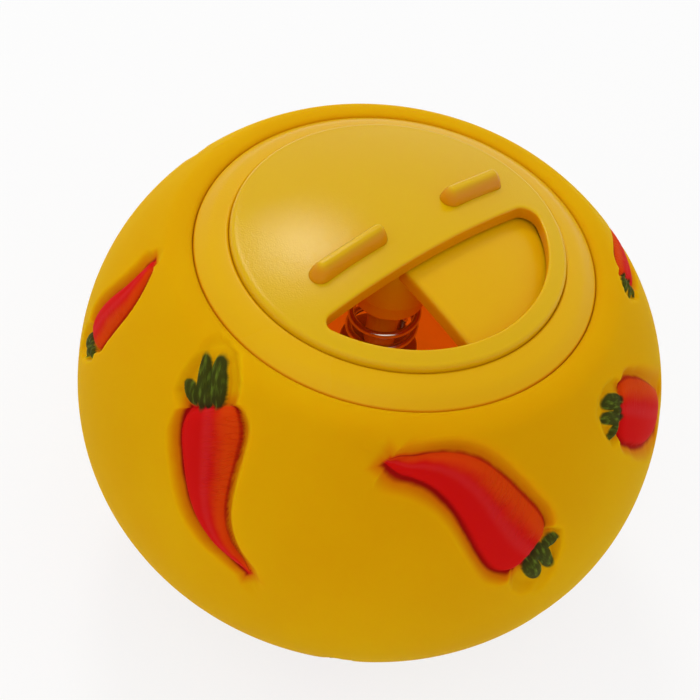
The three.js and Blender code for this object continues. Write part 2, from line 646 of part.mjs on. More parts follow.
// The spring's middle line: a helix whose two ends stand straight on the washer and the hub.
class SpringLine extends THREE.Curve {
  constructor() {
    super();
    const at = (share, z) => {
      const turn = share * COIL_TURNS * 2 * Math.PI;
      return new THREE.Vector3(COIL_RADIUS * Math.cos(turn), COIL_RADIUS * Math.sin(turn), z);
    };
    const ends = [0, WIRE_DIAMETER / 2, WIRE_DIAMETER];
    const count = COIL_TURNS * COIL_STEPS_PER_TURN;
    const coil = Array.from({ length: count + 1 }, (_, i) => {
      const rise = (i / count) * COIL_TURNS * COIL_PITCH;
      return at(i / count, SPRING_BOTTOM_Z + WIRE_END + rise);
    });
    this.line = new THREE.CatmullRomCurve3([
      ...ends.map((z) => at(0, SPRING_BOTTOM_Z + z)),
      ...coil,
      ...ends.reverse().map((z) => at(1, SPRING_TOP_Z - z)),
    ]);
  }
  getPoint(t, target) {
    return this.line.getPoint(t, target);
  }
}

// The least distance between the wire's surface and itself, half a turn or more along the wire.
function leastSelfGap(curve) {
  const points = curve.getSpacedPoints(400);
  const apart = Math.round(400 / COIL_TURNS / 2);
  let least = Infinity;
  for (let i = 0; i < points.length; i++) {
    for (let j = i + apart; j < points.length; j++) {
      least = Math.min(least, points[i].distanceTo(points[j]));
    }
  }
  return least - WIRE_DIAMETER;
}

function dialSpring() {
  const line = new SpringLine();
  console.log("least gap of the spring to itself: " + leastSelfGap(line).toFixed(2) + " mm");
  const section = new THREE.Shape();
  for (let i = 0; i < WIRE_SIDES; i++) {
    const angle = (i / WIRE_SIDES) * 2 * Math.PI;
    const x = (WIRE_DIAMETER / 2) * Math.cos(angle);
    const y = (WIRE_DIAMETER / 2) * Math.sin(angle);
    if (i === 0) section.moveTo(x, y);
    else section.lineTo(x, y);
  }
  section.closePath();
  const geometry = new THREE.ExtrudeGeometry(section, {
    steps: Math.round(COIL_TURNS * COIL_STEPS_PER_TURN) + END_STEPS,
    extrudePath: line,
    bevelEnabled: false,
  });
  return piece("dial_spring", solid(geometry), 0xb8b4ac, 0.3, 1);
}

function springWasher() {
  const disc = cylinder(WASHER_RADIUS, WASHER_BOTTOM_Z, WASHER_TOP_Z, 32);
  const hole = cylinder(PILOT_RADIUS, WASHER_BOTTOM_Z - CUT_THROUGH, WASHER_TOP_Z + CUT_THROUGH);
  return piece("spring_washer", disc.subtract(hole), 0xb4b0a8, 0.35, 1);
}

function centreScrew() {
  const headBottomZ = SCREW_HEAD_TOP_Z - SCREW_HEAD_HEIGHT;
  const shank = revolve(
    [
      [0, headBottomZ],
      [SCREW_HEAD_RADIUS * 0.72, headBottomZ],
      [SCREW_HEAD_RADIUS, SCREW_HEAD_TOP_Z - SCREW_HEAD_HEIGHT * 0.45],
      [SCREW_HEAD_RADIUS, SCREW_HEAD_TOP_Z],
      [SCREW_RADIUS, SCREW_HEAD_TOP_Z],
      [SCREW_RADIUS, POST_BOTTOM_Z + SCREW_DEPTH - SCREW_RADIUS],
      [0, POST_BOTTOM_Z + SCREW_DEPTH],
    ],
    SMALL_SEGMENTS,
  );
  const bar = new THREE.BoxGeometry(SCREW_HEAD_RADIUS * 1.3, DRIVE_WIDTH, DRIVE_DEPTH * 2);
  bar.translate(0, 0, headBottomZ);
  const cross = solid(bar).add(solid(bar.clone().rotateZ(Math.PI / 2)));
  return piece("centre_screw", shank.subtract(cross), 0xa8a49c, 0.35, 1);
}

const ball = new THREE.Group();
ball.add(ballBody());

const lid = new THREE.Group();
lid.add(lidFrame());
const turning = new THREE.Group();
turning.rotation.z = THREE.MathUtils.degToRad(DIAL_TURN);
turning.add(dial(), dialSpring(), springWasher(), centreScrew());
lid.add(turning);
ball.add(lid);

export default ball;
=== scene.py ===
"""Looks of a treat dispensing ball: a soft yellow ball with sunken, painted carrots, a snap-in
lid with a half-round shutter, and a turning dial with a half-moon window.

Sizes are in millimetres in the classes and become metres in the meshes. Heights are measured
from the foot or, where a field says so, from the girth. The shutter's straight edge is along Y.
"""

from __future__ import annotations

import logging
import math
from dataclasses import dataclass, field
from enum import Enum
from typing import Iterable, Sequence

import bpy
import numpy as np
from mathutils import Matrix, Vector


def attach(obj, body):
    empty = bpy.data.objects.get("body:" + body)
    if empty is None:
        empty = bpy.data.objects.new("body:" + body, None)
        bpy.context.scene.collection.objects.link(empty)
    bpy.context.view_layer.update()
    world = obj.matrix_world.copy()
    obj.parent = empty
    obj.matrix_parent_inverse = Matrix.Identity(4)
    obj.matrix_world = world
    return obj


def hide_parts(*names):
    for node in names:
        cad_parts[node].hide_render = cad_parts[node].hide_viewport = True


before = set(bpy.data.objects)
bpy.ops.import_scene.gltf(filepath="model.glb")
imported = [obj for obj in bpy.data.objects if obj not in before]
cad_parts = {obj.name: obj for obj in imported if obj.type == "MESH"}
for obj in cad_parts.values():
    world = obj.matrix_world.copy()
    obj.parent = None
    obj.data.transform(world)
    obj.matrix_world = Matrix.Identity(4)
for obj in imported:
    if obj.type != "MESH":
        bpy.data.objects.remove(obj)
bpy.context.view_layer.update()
LOG = logging.getLogger("treat_ball")

MM = 0.001  # a millimetre in metres
GIRTH = 30.3  # height of the ball's widest girth above the foot
DIAL_TURN = 2.2  # how far round the dial stands at rest, in degrees
CRISP = 40.0  # edges sharper than this many degrees stay crisp on hard pieces

Profile = Sequence[tuple[float, float]]
Colour = tuple[float, float, float]


class Body(Enum):
    """The rigid bodies that pieces ride on."""

    BALL = "ball"
    LID = "lid"
    DIAL = "dial"


class Slot(Enum):
    """The record's material slots."""

    VINYL = "ball_vinyl"
    LID = "lid_plastic"
    SPRING = "spring_steel"
    SCREW = "screw_steel"


def linear(red: int, green: int, blue: int) -> Colour:
    """A colour given as on a screen, made linear.

    Args:
        red: Red, 0 to 255.
        green: Green, 0 to 255.
        blue: Blue, 0 to 255.

    Returns:
        The linear colour.
    """
    parts = (c / 255 for c in (red, green, blue))
    made = [c / 12.92 if c <= 0.04045 else ((c + 0.055) / 1.055) ** 2.4 for c in parts]
    return (made[0], made[1], made[2])


# Mesh work


def deselect() -> None:
    """Leaves edit mode and deselects every object."""
    if bpy.context.object and bpy.context.object.mode != "OBJECT":
        bpy.ops.object.mode_set(mode="OBJECT")
    bpy.ops.object.select_all(action="DESELECT")


def take(piece: bpy.types.Object) -> None:
    """Makes one object the only selected and active one.

    Args:
        piece: The object.
    """
    deselect()
    piece.select_set(True)
    bpy.context.view_layer.objects.active = piece


def edit_all(piece: bpy.types.Object) -> None:
    """Opens a piece in edit mode with everything on it selected.

    Args:
        piece: The piece.
    """
    take(piece)
    bpy.ops.object.mode_set(mode="EDIT")
    bpy.ops.mesh.select_all(action="SELECT")


def close_up() -> None:
    """Turns the faces of the piece in edit mode outwards and leaves edit mode."""
    bpy.ops.mesh.select_all(action="SELECT")
    bpy.ops.mesh.normals_make_consistent(inside=False)
    bpy.ops.object.mode_set(mode="OBJECT")


def settle(piece: bpy.types.Object, angle: float = CRISP) -> bpy.types.Object:
    """Puts a piece's place into its mesh and shades it smooth up to an angle.

    Args:
        piece: The piece.
        angle: Edges sharper than this many degrees stay crisp.

    Returns:
        The same piece.
    """
    take(piece)
    bpy.ops.object.transform_apply(location=True, rotation=True, scale=True)
    bpy.ops.object.shade_smooth_by_angle(angle=math.radians(angle))
    return piece


def apply_modifiers(piece: bpy.types.Object) -> None:
    """Applies every modifier on a piece, in order.

    Args:
        piece: The piece.
    """
    take(piece)
    for modifier in list(piece.modifiers):
        bpy.ops.object.modifier_apply(modifier=modifier.name)


def read(items: bpy.types.bpy_prop_collection, name: str, width: int) -> np.ndarray:
    """One property of every item in one of a mesh's lists.

    Args:
        items: The vertices, faces or face corners.
        name: The property.
        width: How many numbers it has; one stands for a whole number.

    Returns:
        One row for each item, or one number where the width is one.
    """
    found = np.empty(len(items) * width, dtype=np.int64 if width == 1 else float)
    items.foreach_get(name, found)
    return found if width == 1 else found.reshape(-1, width)


def corners(piece: bpy.types.Object) -> np.ndarray:
    """The piece's vertices in millimetres, one row each."""
    return read(piece.data.vertices, "co", 3) / MM


def place_corners(piece: bpy.types.Object, places: np.ndarray) -> None:
    """Moves the piece's vertices to places in millimetres."""
    piece.data.vertices.foreach_set("co", (places * MM).ravel())
    piece.data.update()


def write_map(mesh: bpy.types.Mesh, name: str, first: np.ndarray, second: np.ndarray) -> None:
    """Writes two values for each face corner to a new UV map.

    Args:
        mesh: The mesh.
        name: The map's name.
        first: The first value of each face corner.
        second: The second value.
    """
    chart = mesh.uv_layers.new(name=name)
    chart.data.foreach_set("uv", np.stack([first, second], axis=1).astype(float).ravel())


def named(name: str) -> bpy.types.Object:
    """Names the primitive that was just added.

    Args:
        name: The name of the object and its mesh.

    Returns:
        The object.
    """
    piece = bpy.context.object
    piece.name = piece.data.name = name
    return piece


def grid(name: str, columns: int, rows: int) -> bpy.types.Object:
    """A square sheet that reaches from -1 to 1 mm both ways, ready to be laid out.

    Args:
        name: The new object's name.
        columns: Steps along X.
        rows: Steps along Y.

    Returns:
        The sheet.
    """
    deselect()
    bpy.ops.mesh.primitive_grid_add(x_subdivisions=columns, y_subdivisions=rows, size=2 * MM)
    return named(name)


def turned(name: str, profile: Profile, steps: int, angle: float = CRISP) -> bpy.types.Object:
    """A closed profile spun about the Z axis.

    Args:
        name: The new object's name.
        profile: Radius and height of each corner, in millimetres, going round the section.
        steps: How many steps make the full turn.
        angle: Edges sharper than this many degrees stay crisp.

    Returns:
        The turned piece.
    """
    deselect()
    bpy.ops.mesh.primitive_circle_add(
        vertices=len(profile), radius=10 * MM, fill_type="NOTHING"
    )
    piece = named(name)
    place_corners(piece, np.array([(r, 0.0, z) for r, z in profile]))
    edit_all(piece)
    bpy.ops.mesh.spin(steps=steps, angle=2 * math.pi, center=(0, 0, 0), axis=(0, 0, 1))
    bpy.ops.mesh.select_all(action="SELECT")
    bpy.ops.mesh.remove_doubles(threshold=2e-6)
    close_up()
    return settle(piece, angle)


def turn_round(piece: bpy.types.Object) -> None:
    """Turns a piece of the dial's to where it stands at rest."""
    piece.data.transform(Matrix.Rotation(math.radians(DIAL_TURN), 4, "Z"))


def rounded(points: Profile, radius: dict[int, float], steps: int = 5) -> list[tuple[float, float]]:
    """A profile with some of its corners rounded.

    Args:
        points: The corners.
        radius: Rounding for each corner that has one, by its index.
        steps: Steps in each rounding.

    Returns:
        The longer list of corners.
    """
    made: list[tuple[float, float]] = []
    for i, point in enumerate(points):
        here = np.array(point)
        if i not in radius:
            made.append((float(here[0]), float(here[1])))
            continue
        before = np.array(points[i - 1]) - here
        after = np.array(points[(i + 1) % len(points)]) - here
        sides = np.linalg.norm(before), np.linalg.norm(after)
        a, b = before / sides[0], after / sides[1]
        half = math.acos(float(np.clip(a @ b, -1, 1))) / 2
        reach = min(radius[i] / math.tan(half), 0.49 * sides[0], 0.49 * sides[1])
        bulge = reach * math.tan(half)
        centre = here + (a + b) / np.linalg.norm(a + b) * bulge / math.sin(half)
        start, end = here + a * reach - centre, here + b * reach - centre
        sweep = math.acos(float(np.clip(start @ end / (bulge * bulge), -1, 1)))
        for k in range(steps + 1):
            t = k / steps
            if sweep < 1e-6:
                spot = centre + start * (1 - t) + end * t
            else:
                swung = start * math.sin((1 - t) * sweep) + end * math.sin(t * sweep)
                spot = centre + swung / math.sin(sweep)
            made.append((float(spot[0]), float(spot[1])))
    return made


def arc(centre: Sequence[float], radius: float, start: float, end: float, steps: int) -> Profile:
    """Points on a circle between two angles.

    Args:
        centre: The circle's middle.
        radius: Its radius.
        start: First angle, in radians.
        end: Last angle.
        steps: How many points.

    Returns:
        The points.
    """
    turns = np.linspace(start, end, steps)
    return [(centre[0] + radius * math.cos(k), centre[1] + radius * math.sin(k)) for k in turns]


def evenly(line: np.ndarray, count: int, closed: bool) -> np.ndarray:
    """Points at even distances along a line of short pieces.

    Args:
        line: The line's corners, one row each.
        count: How many points.
        closed: True where the last corner is the first one again, which is then left out.

    Returns:
        The points.
    """
    run = np.concatenate([[0], np.cumsum(np.hypot(*np.diff(line, axis=0).T))])
    at = np.linspace(0, run[-1], count, endpoint=not closed)
    return np.stack([np.interp(at, run, line[:, 0]), np.interp(at, run, line[:, 1])], axis=1)


def smooth_line(marks: Sequence[Sequence[float]], steps: int) -> list[tuple[float, ...]]:
    """A smooth line through every mark.

    Args:
        marks: The places that it passes through.
        steps: Points for each stretch between two marks.

    Returns:
        The line's points.
    """
    at = np.array(marks)
    ends = np.vstack([2 * at[0] - at[1], at, 2 * at[-1] - at[-2]])
    made: list[np.ndarray] = []
    for a, b, c, d in zip(ends, ends[1:], ends[2:], ends[3:]):
        for t in np.linspace(0, 1, steps, endpoint=False):
            bend = (2 * a - 5 * b + 4 * c - d) * t * t + (3 * b - a - 3 * c + d) * t**3
            made.append(0.5 * (2 * b + (c - a) * t + bend))
    made.append(at[-1])
    return [tuple(float(v) for v in place) for place in made]


# Shader work


class Signal:
    """A value in a node tree, which can be reckoned with like a number."""

    def __init__(self, desk: Desk, socket: bpy.types.NodeSocket) -> None:
        """Keeps the value's socket and the desk that it lies on."""
        self.desk = desk
        self.socket = socket

    def __add__(self, other: object) -> Signal:
        """The sum."""
        return self.desk.math("ADD", self, other)

    def __sub__(self, other: object) -> Signal:
        """The difference."""
        return self.desk.math("SUBTRACT", self, other)

    def __mul__(self, other: object) -> Signal:
        """The product."""
        return self.desk.math("MULTIPLY", self, other)

    def __truediv__(self, other: object) -> Signal:
        """The quotient."""
        return self.desk.math("DIVIDE", self, other)

    def __abs__(self) -> Signal:
        """The value without its sign."""
        return self.desk.math("ABSOLUTE", self)


class Desk:
    """A node tree with short ways to add and join nodes."""

    def __init__(self, tree: bpy.types.NodeTree) -> None:
        """Takes the tree to work in."""
        self.tree = tree

    def node(self, kind: str, **settings: object) -> bpy.types.Node:
        """Adds a node and sets its properties.

        Args:
            kind: The node's type.
            **settings: Properties to set on it.

        Returns:
            The node.
        """
        made = self.tree.nodes.new(kind)
        for key, value in settings.items():
            setattr(made, key, value)
        return made

    def fill(self, node: bpy.types.Node, values: dict[int | str, object]) -> None:
        """Links a node's inputs to values on the desk, or sets them to numbers and colours.

        Args:
            node: The node.
            values: What goes into each input, by its name or place.
        """
        for key, value in values.items():
            socket = node.inputs[key]
            if isinstance(value, Signal):
                self.tree.links.new(value.socket, socket)
            elif isinstance(value, tuple) and len(value) == 3 and socket.type == "RGBA":
                socket.default_value = (*value, 1.0)
            else:
                socket.default_value = value

    def out(self, node: bpy.types.Node, name: int | str = 0) -> Signal:
        """One of a node's outputs, by its name or place."""
        return Signal(self, node.outputs[name])

    def make(self, kind: str, values: dict[int | str, object], **settings: object) -> Signal:
        """Adds a node, fills its inputs and gives its first output.

        Args:
            kind: The node's type.
            values: What goes into each input.
            **settings: Properties to set on it.

        Returns:
            The output.
        """
        made = self.node(kind, **settings)
        self.fill(made, values)
        return self.out(made)

    def math(self, operation: str, *values: object, clamp: bool = False) -> Signal:
        """A Math node on the values.

        Args:
            operation: The node's operation.
            *values: Numbers or values on the desk.
            clamp: Keeps the result between 0 and 1.

        Returns:
            The result.
        """
        takes = dict(enumerate(values))
        return self.make("ShaderNodeMath", takes, operation=operation, use_clamp=clamp)

    def ease(
        self, value: object, low: float, high: float, start: float = 0.0, end: float = 1.0
    ) -> Signal:
        """A smooth step as a value goes from low to high.

        Args:
            value: The value.
            low: Where the step starts.
            high: Where it ends.
            start: The result at low and before it.
            end: The result at high and after it.

        Returns:
            The result.
        """
        takes = {"Value": value, "From Min": low, "From Max": high, "To Min": start, "To Max": end}
        return self.make("ShaderNodeMapRange", takes, interpolation_type="SMOOTHSTEP")

    def mix(self, share: object, one: object, other: object) -> Signal:
        """A mix of two colours.

        Args:
            share: How much of the other there is.
            one: The first colour.
            other: The other colour.

        Returns:
            The mixed colour.
        """
        made = self.node("ShaderNodeMix", data_type="RGBA")
        self.fill(made, {0: share, 6: one, 7: other})
        return self.out(made, 2)

    def noise(self, scale: object, detail: float, place: Signal | None = None) -> Signal:
        """A noise value.

        Args:
            scale: The noise's scale.
            detail: Its detail.
            place: Where it is read, which is the Object coordinates if nothing is given.

        Returns:
            The value.
        """
        if place is None:
            place = self.out(self.node("ShaderNodeTexCoord"), "Object")
        takes = {"Vector": place, "Scale": scale, "Detail": detail}
        return self.make("ShaderNodeTexNoise", takes)

    def chart(self, name: str) -> tuple[Signal, Signal]:
        """The two values of one of the piece's own UV maps.

        Args:
            name: The map's name.

        Returns:
            Both values.
        """
        split = self.node("ShaderNodeSeparateXYZ")
        self.fill(split, {0: self.make("ShaderNodeUVMap", {}, uv_map=name)})
        return self.out(split, 0), self.out(split, 1)

    def pair(self, x: Signal, y: Signal) -> Signal:
        """A vector of two values."""
        return self.make("ShaderNodeCombineXYZ", {0: x, 1: y})

    def curve(self, value: Signal, shares: np.ndarray, heights: np.ndarray) -> Signal:
        """A Float Curve through points that lie between 0 and 1 both ways.

        Args:
            value: The value that runs along the curve.
            shares: Where each point lies along it.
            heights: The curve's height there.

        Returns:
            The curve's value.
        """
        made = self.node("ShaderNodeFloatCurve")
        line = made.mapping.curves[0]
        first, *rest, last = zip(shares.tolist(), heights.tolist())
        line.points[0].location = first
        line.points[1].location = last
        for place in rest:
            line.points.new(*place)
        made.mapping.update()
        self.fill(made, {"Value": value})
        return self.out(made)

    def bump(
        self, height: Signal, strength: float, distance: float, normal: Signal | None = None
    ) -> Signal:
        """A Bump node on a height.

        Args:
            height: The height.
            strength: The bump's strength.
            distance: The bump's full height, in millimetres.
            normal: A normal to add to.

        Returns:
            The new normal.
        """
        takes = {"Strength": strength, "Distance": distance * MM, "Height": height}
        if normal is not None:
            takes["Normal"] = normal
        return self.make("ShaderNodeBump", takes)

    def group(self, tree: bpy.types.NodeTree, values: dict[str, object]) -> bpy.types.Node:
        """Places a node group with its own values.

        Args:
            tree: The group.
            values: What goes into each input.

        Returns:
            The group's node.
        """
        made = self.node("ShaderNodeGroup", node_tree=tree)
        self.fill(made, values)
        return made


def blank_material(name: str) -> tuple[bpy.types.Material, Desk, bpy.types.Node]:
    """A new material with only a Principled shader in it.

    Args:
        name: The material's name.

    Returns:
        The material, its desk and the shader node.
    """
    made = bpy.data.materials.new(name)
    made.use_nodes = True
    return made, Desk(made.node_tree), made.node_tree.nodes["Principled BSDF"]


def new_group(
    name: str, takes: dict[str, float], gives: Iterable[str]
) -> tuple[bpy.types.NodeTree, Desk, bpy.types.Node, bpy.types.Node]:
    """A new shader node group that takes and gives numbers.

    Args:
        name: The group's name.
        takes: The inputs and their values.
        gives: The outputs.

    Returns:
        The group, its desk, and its input and output nodes.
    """
    tree = bpy.data.node_groups.new(name, "ShaderNodeTree")
    kind = "NodeSocketFloat"
    for label, value in takes.items():
        socket = tree.interface.new_socket(name=label, in_out="INPUT", socket_type=kind)
        socket.default_value = value
    for label in gives:
        tree.interface.new_socket(name=label, in_out="OUTPUT", socket_type=kind)
    desk = Desk(tree)
    return tree, desk, desk.node("NodeGroupInput"), desk.node("NodeGroupOutput")


def moulded_grain() -> bpy.types.NodeTree:
    """The grain of moulded plastic: a fine tooth and a broad, shallow unevenness.

    Returns:
        The node group, made once.
    """
    known = bpy.data.node_groups.get("moulded_grain")
    if known:
        return known
    takes = {"Fine scale": 5200.0, "Fine share": 0.5}
    tree, desk, start, end = new_group("moulded_grain", takes, ("Height", "Drift"))
    fine = desk.noise(desk.out(start, "Fine scale"), 2.0) * desk.out(start, "Fine share")
    broad = desk.noise(90.0, 2.0) * 1.6
    desk.fill(end, {"Height": fine + broad, "Drift": desk.noise(28.0, 3.0)})
    return tree


# The carrots' shape, shared by the ball's relief and its paint


@dataclass(frozen=True)
class CarrotPlace:
    """Where a carrot lies, and how it differs from the plain shape.

    turn goes round the ball, height is its middle's share of the crown's height above the girth
    or of the base's below it, and heading is its tip's, from east towards the crown, in degrees.
    size is the carrot's scale. thin is the side, across, on which the paint was sprayed thinly
    and the pocket's wall is steep. width, bow, tuft and depth are shares of the plain shape's,
    blunt fills out the tip, and lean tilts the tuft.
    """

    turn: float
    height: float
    heading: float
    thin: float
    size: float = 1.0
    width: float = 1.0
    bow: float = 1.0
    tuft: float = 1.0
    depth: float = 1.0
    blunt: float = 0.0
    lean: float = 0.0


CARROT_PLACES = (
    CarrotPlace(146.9, 0.475, 96.0, -1, size=0.65, width=1.15, bow=0.8, blunt=0.35, lean=0.4),
    CarrotPlace(-162.6, 0.336, -57.0, 1, size=0.987, width=1.03, bow=1.04, tuft=1.08, lean=0.12),
    CarrotPlace(-113.6, 0.46, 140.4, -1, size=1.08, bow=1.15, tuft=0.82, blunt=0.4, lean=0.35),
    CarrotPlace(-59.1, 0.386, -42.8, 1, size=0.74, width=1.3, bow=0.3, depth=0.75, blunt=1.0),
    CarrotPlace(-18.6, 0.585, -21.0, 1, size=0.86, width=0.62, bow=0.5, tuft=0.6, depth=0.7),
    CarrotPlace(37.0, 0.383, 122.0, -1),
    CarrotPlace(91.0, 0.245, 62.0, 1),
    CarrotPlace(-132.9, -0.8, -90.0, 1, size=0.8),
    CarrotPlace(-62.0, -0.487, -6.0, 1),
    CarrotPlace(8.0, -0.52, 172.0, -1),
    CarrotPlace(80.0, -0.487, 8.0, 1),
    CarrotPlace(152.0, -0.52, 176.0, -1),
)


@dataclass(frozen=True)
class CarrotShape:
    """One moulded carrot's outline, along s from crown to tip and across t.

    A leaf is where it starts and ends across, where it starts and ends along as a share of the
    tuft, and its half width. The pocket's tables give its half width and middle along the tuft,
    and its depth along the root.
    """

    length: float = 21.5
    half_width: float = 4.6
    bend: float = 2.6
    tuft: float = 5.4
    depth: float = 1.15
    margin: float = 0.25
    slope: float = 1.5
    thin_slope: float = 1.05
    crest: float = 0.02
    leaf_floor: float = 0.95
    leaf_rise: float = 0.85
    leaves: tuple[tuple[float, ...], ...] = (
        (-1.9, -3.3, 0.02, 0.56, 1.15),
        (-1.0, -1.25, -0.1, 1.06, 1.05),
        (1.15, 0.65, -0.1, 1.0, 1.25),
        (-0.1, -0.2, -0.05, 0.42, 0.8),
    )
    tuft_end: float = 1.05
    tuft_half: Profile = ((0, 2.6), (0.12, 2.9), (0.35, 3.2), (0.65, 2.6), (0.9, 1.7), (1.05, 0.8))
    tuft_middle: Profile = ((0, 0), (0.3, -0.25), (0.6, -0.1), (1.0, 0.1))
    floor: Profile = (
        (-0.27, 0.45), (-0.2, 0.85), (-0.02, 0.95), (0.03, 1), (0.75, 1), (1.0, 0.5), (1.15, 0.15)
    )

    def width_at(self, share: np.ndarray) -> np.ndarray:
        """Half the root's width.

        Args:
            share: Share of the root's length.

        Returns:
            The half width there.
        """
        at = np.clip(share, 0, 1)
        shoulder = 1 - 0.42 * np.exp(-at / 0.062)
        taper = 1 - 0.94 * (np.clip(at - 0.12, 0, 1) / 0.88) ** 1.15
        return self.half_width * shoulder * taper

    def bow_at(self, share: np.ndarray) -> np.ndarray:
        """How far the root's middle line bows.

        Args:
            share: Share of the root's length.

        Returns:
            The middle line's place across.
        """
        at = np.clip(share, 0, 1)
        rising = np.sin(np.pi * np.minimum(1, at / 0.97) ** 1.7)
        return -self.bend * rising + 0.3 * at

    def straighten(
        self, s: np.ndarray, t: np.ndarray, place: CarrotPlace
    ) -> tuple[np.ndarray, np.ndarray]:
        """Carries a place on a carrot of its own shape over to the plain shape.

        Args:
            s: Distance along.
            t: Distance across.
            place: The carrot.

        Returns:
            The distances along and across on the plain shape.
        """
        crown = -self.length / 2
        share = s / self.length + 0.5
        along = np.where(s < crown, crown + (s - crown) / place.tuft, s)
        lean = place.lean * np.clip(crown - s, 0, None)
        middle = self.bow_at(share)
        round_end = np.sqrt(np.clip(1 - np.clip((share - 0.1) / 0.9, 0, 1) ** 2.4, 0.01, 1))
        plain = np.maximum(self.width_at(share), 0.1)
        fuller = np.clip(round_end * self.half_width / plain, 1, 6)
        wide = place.width * (1 + place.blunt * (fuller - 1) * np.clip((share - 0.1) * 5, 0, 1))
        return along, middle + (t - lean - middle * place.bow) / wide

    def pocket(self, s: np.ndarray, t: np.ndarray, thin: float) -> np.ndarray:
        """The height of the pocket round root and tuft, without either.

        Args:
            s: Distance along, from the middle of the root towards its tip.
            t: Distance across.
            thin: The side, across, on which the pocket's wall is steep.

        Returns:
            Heights, negative in the pocket.
        """
        share = s / self.length + 0.5
        along = np.clip(-share * self.length / self.tuft, 0, None)
        half = np.where(share >= 0, self.width_at(share), np.interp(along, *zip(*self.tuft_half)))
        by_tuft = np.interp(along, *zip(*self.tuft_middle))
        middle = np.where(share >= 0, self.bow_at(share), by_tuft)
        over_tip = np.clip(s - self.length / 2, 0, None)
        over_tuft = np.clip((along - self.tuft_end) * self.tuft, 0, None)
        beside = np.abs(t - middle) - half
        past = np.maximum(over_tip * 0.45, over_tuft)
        out = np.where(past > 0, np.hypot(np.clip(beside, 0, None), past), beside)
        slope = np.where((t - middle) * thin > 0, self.thin_slope, self.slope)
        rise = np.clip((out - self.margin) / slope, 0, 1)
        rise = rise * rise * (3 - 2 * rise)
        return -self.depth * np.interp(share, *zip(*self.floor)) * (1 - rise)

    def relief(self, s: np.ndarray, t: np.ndarray, thin: float) -> np.ndarray:
        """The height of the moulded surface against the ball's own, in carrot millimetres.

        Args:
            s: Distance along, from the middle of the root towards its tip.
            t: Distance across.
            thin: The side, across, on which the pocket's wall is steep.

        Returns:
            Heights, negative in the pocket.
        """
        share = s / self.length + 0.5
        along = np.clip(-share * self.length / self.tuft, 0, None)
        pit = self.pocket(s, t, thin)
        # the rounded root
        x = np.clip((t - self.bow_at(share)) / np.maximum(self.width_at(share), 0.05), -1, 1)
        crown = np.clip(share / 0.07, 0, 1)
        full = np.sqrt(np.clip(1 - (1 - crown) ** 2, 0, 1)) * 0.55 + 0.45
        fall = np.interp(share, [0, 0.8, 1], [1, 1, 0.65])
        height = (self.depth - self.crest) * full * fall * (1 - np.abs(x) ** 2.6) ** 0.5
        on_root = (share >= 0) & (share <= 1) & (np.abs(x) < 1)
        made = np.where(on_root, np.maximum(height - self.depth, pit), pit)
        for t0, t1, k0, k1, wide in self.leaves:
            run = (along - k0) / (k1 - k0)
            swell = np.sqrt(np.clip(1 - (2 * run - 1) ** 2 * 0.9, 0, 1))
            x = (t - (t0 + (t1 - t0) * run)) / (wide * np.maximum(swell, 0.05))
            on_leaf = (share < 0) & (run > 0) & (run < 1) & (np.abs(x) < 1)
            ridge = self.leaf_rise * np.sqrt(np.clip(1 - np.abs(x) ** 2.5, 0, 1)) * swell
            made = np.where(on_leaf, np.maximum(ridge - self.leaf_floor, made), made)
        return made


# Finishes


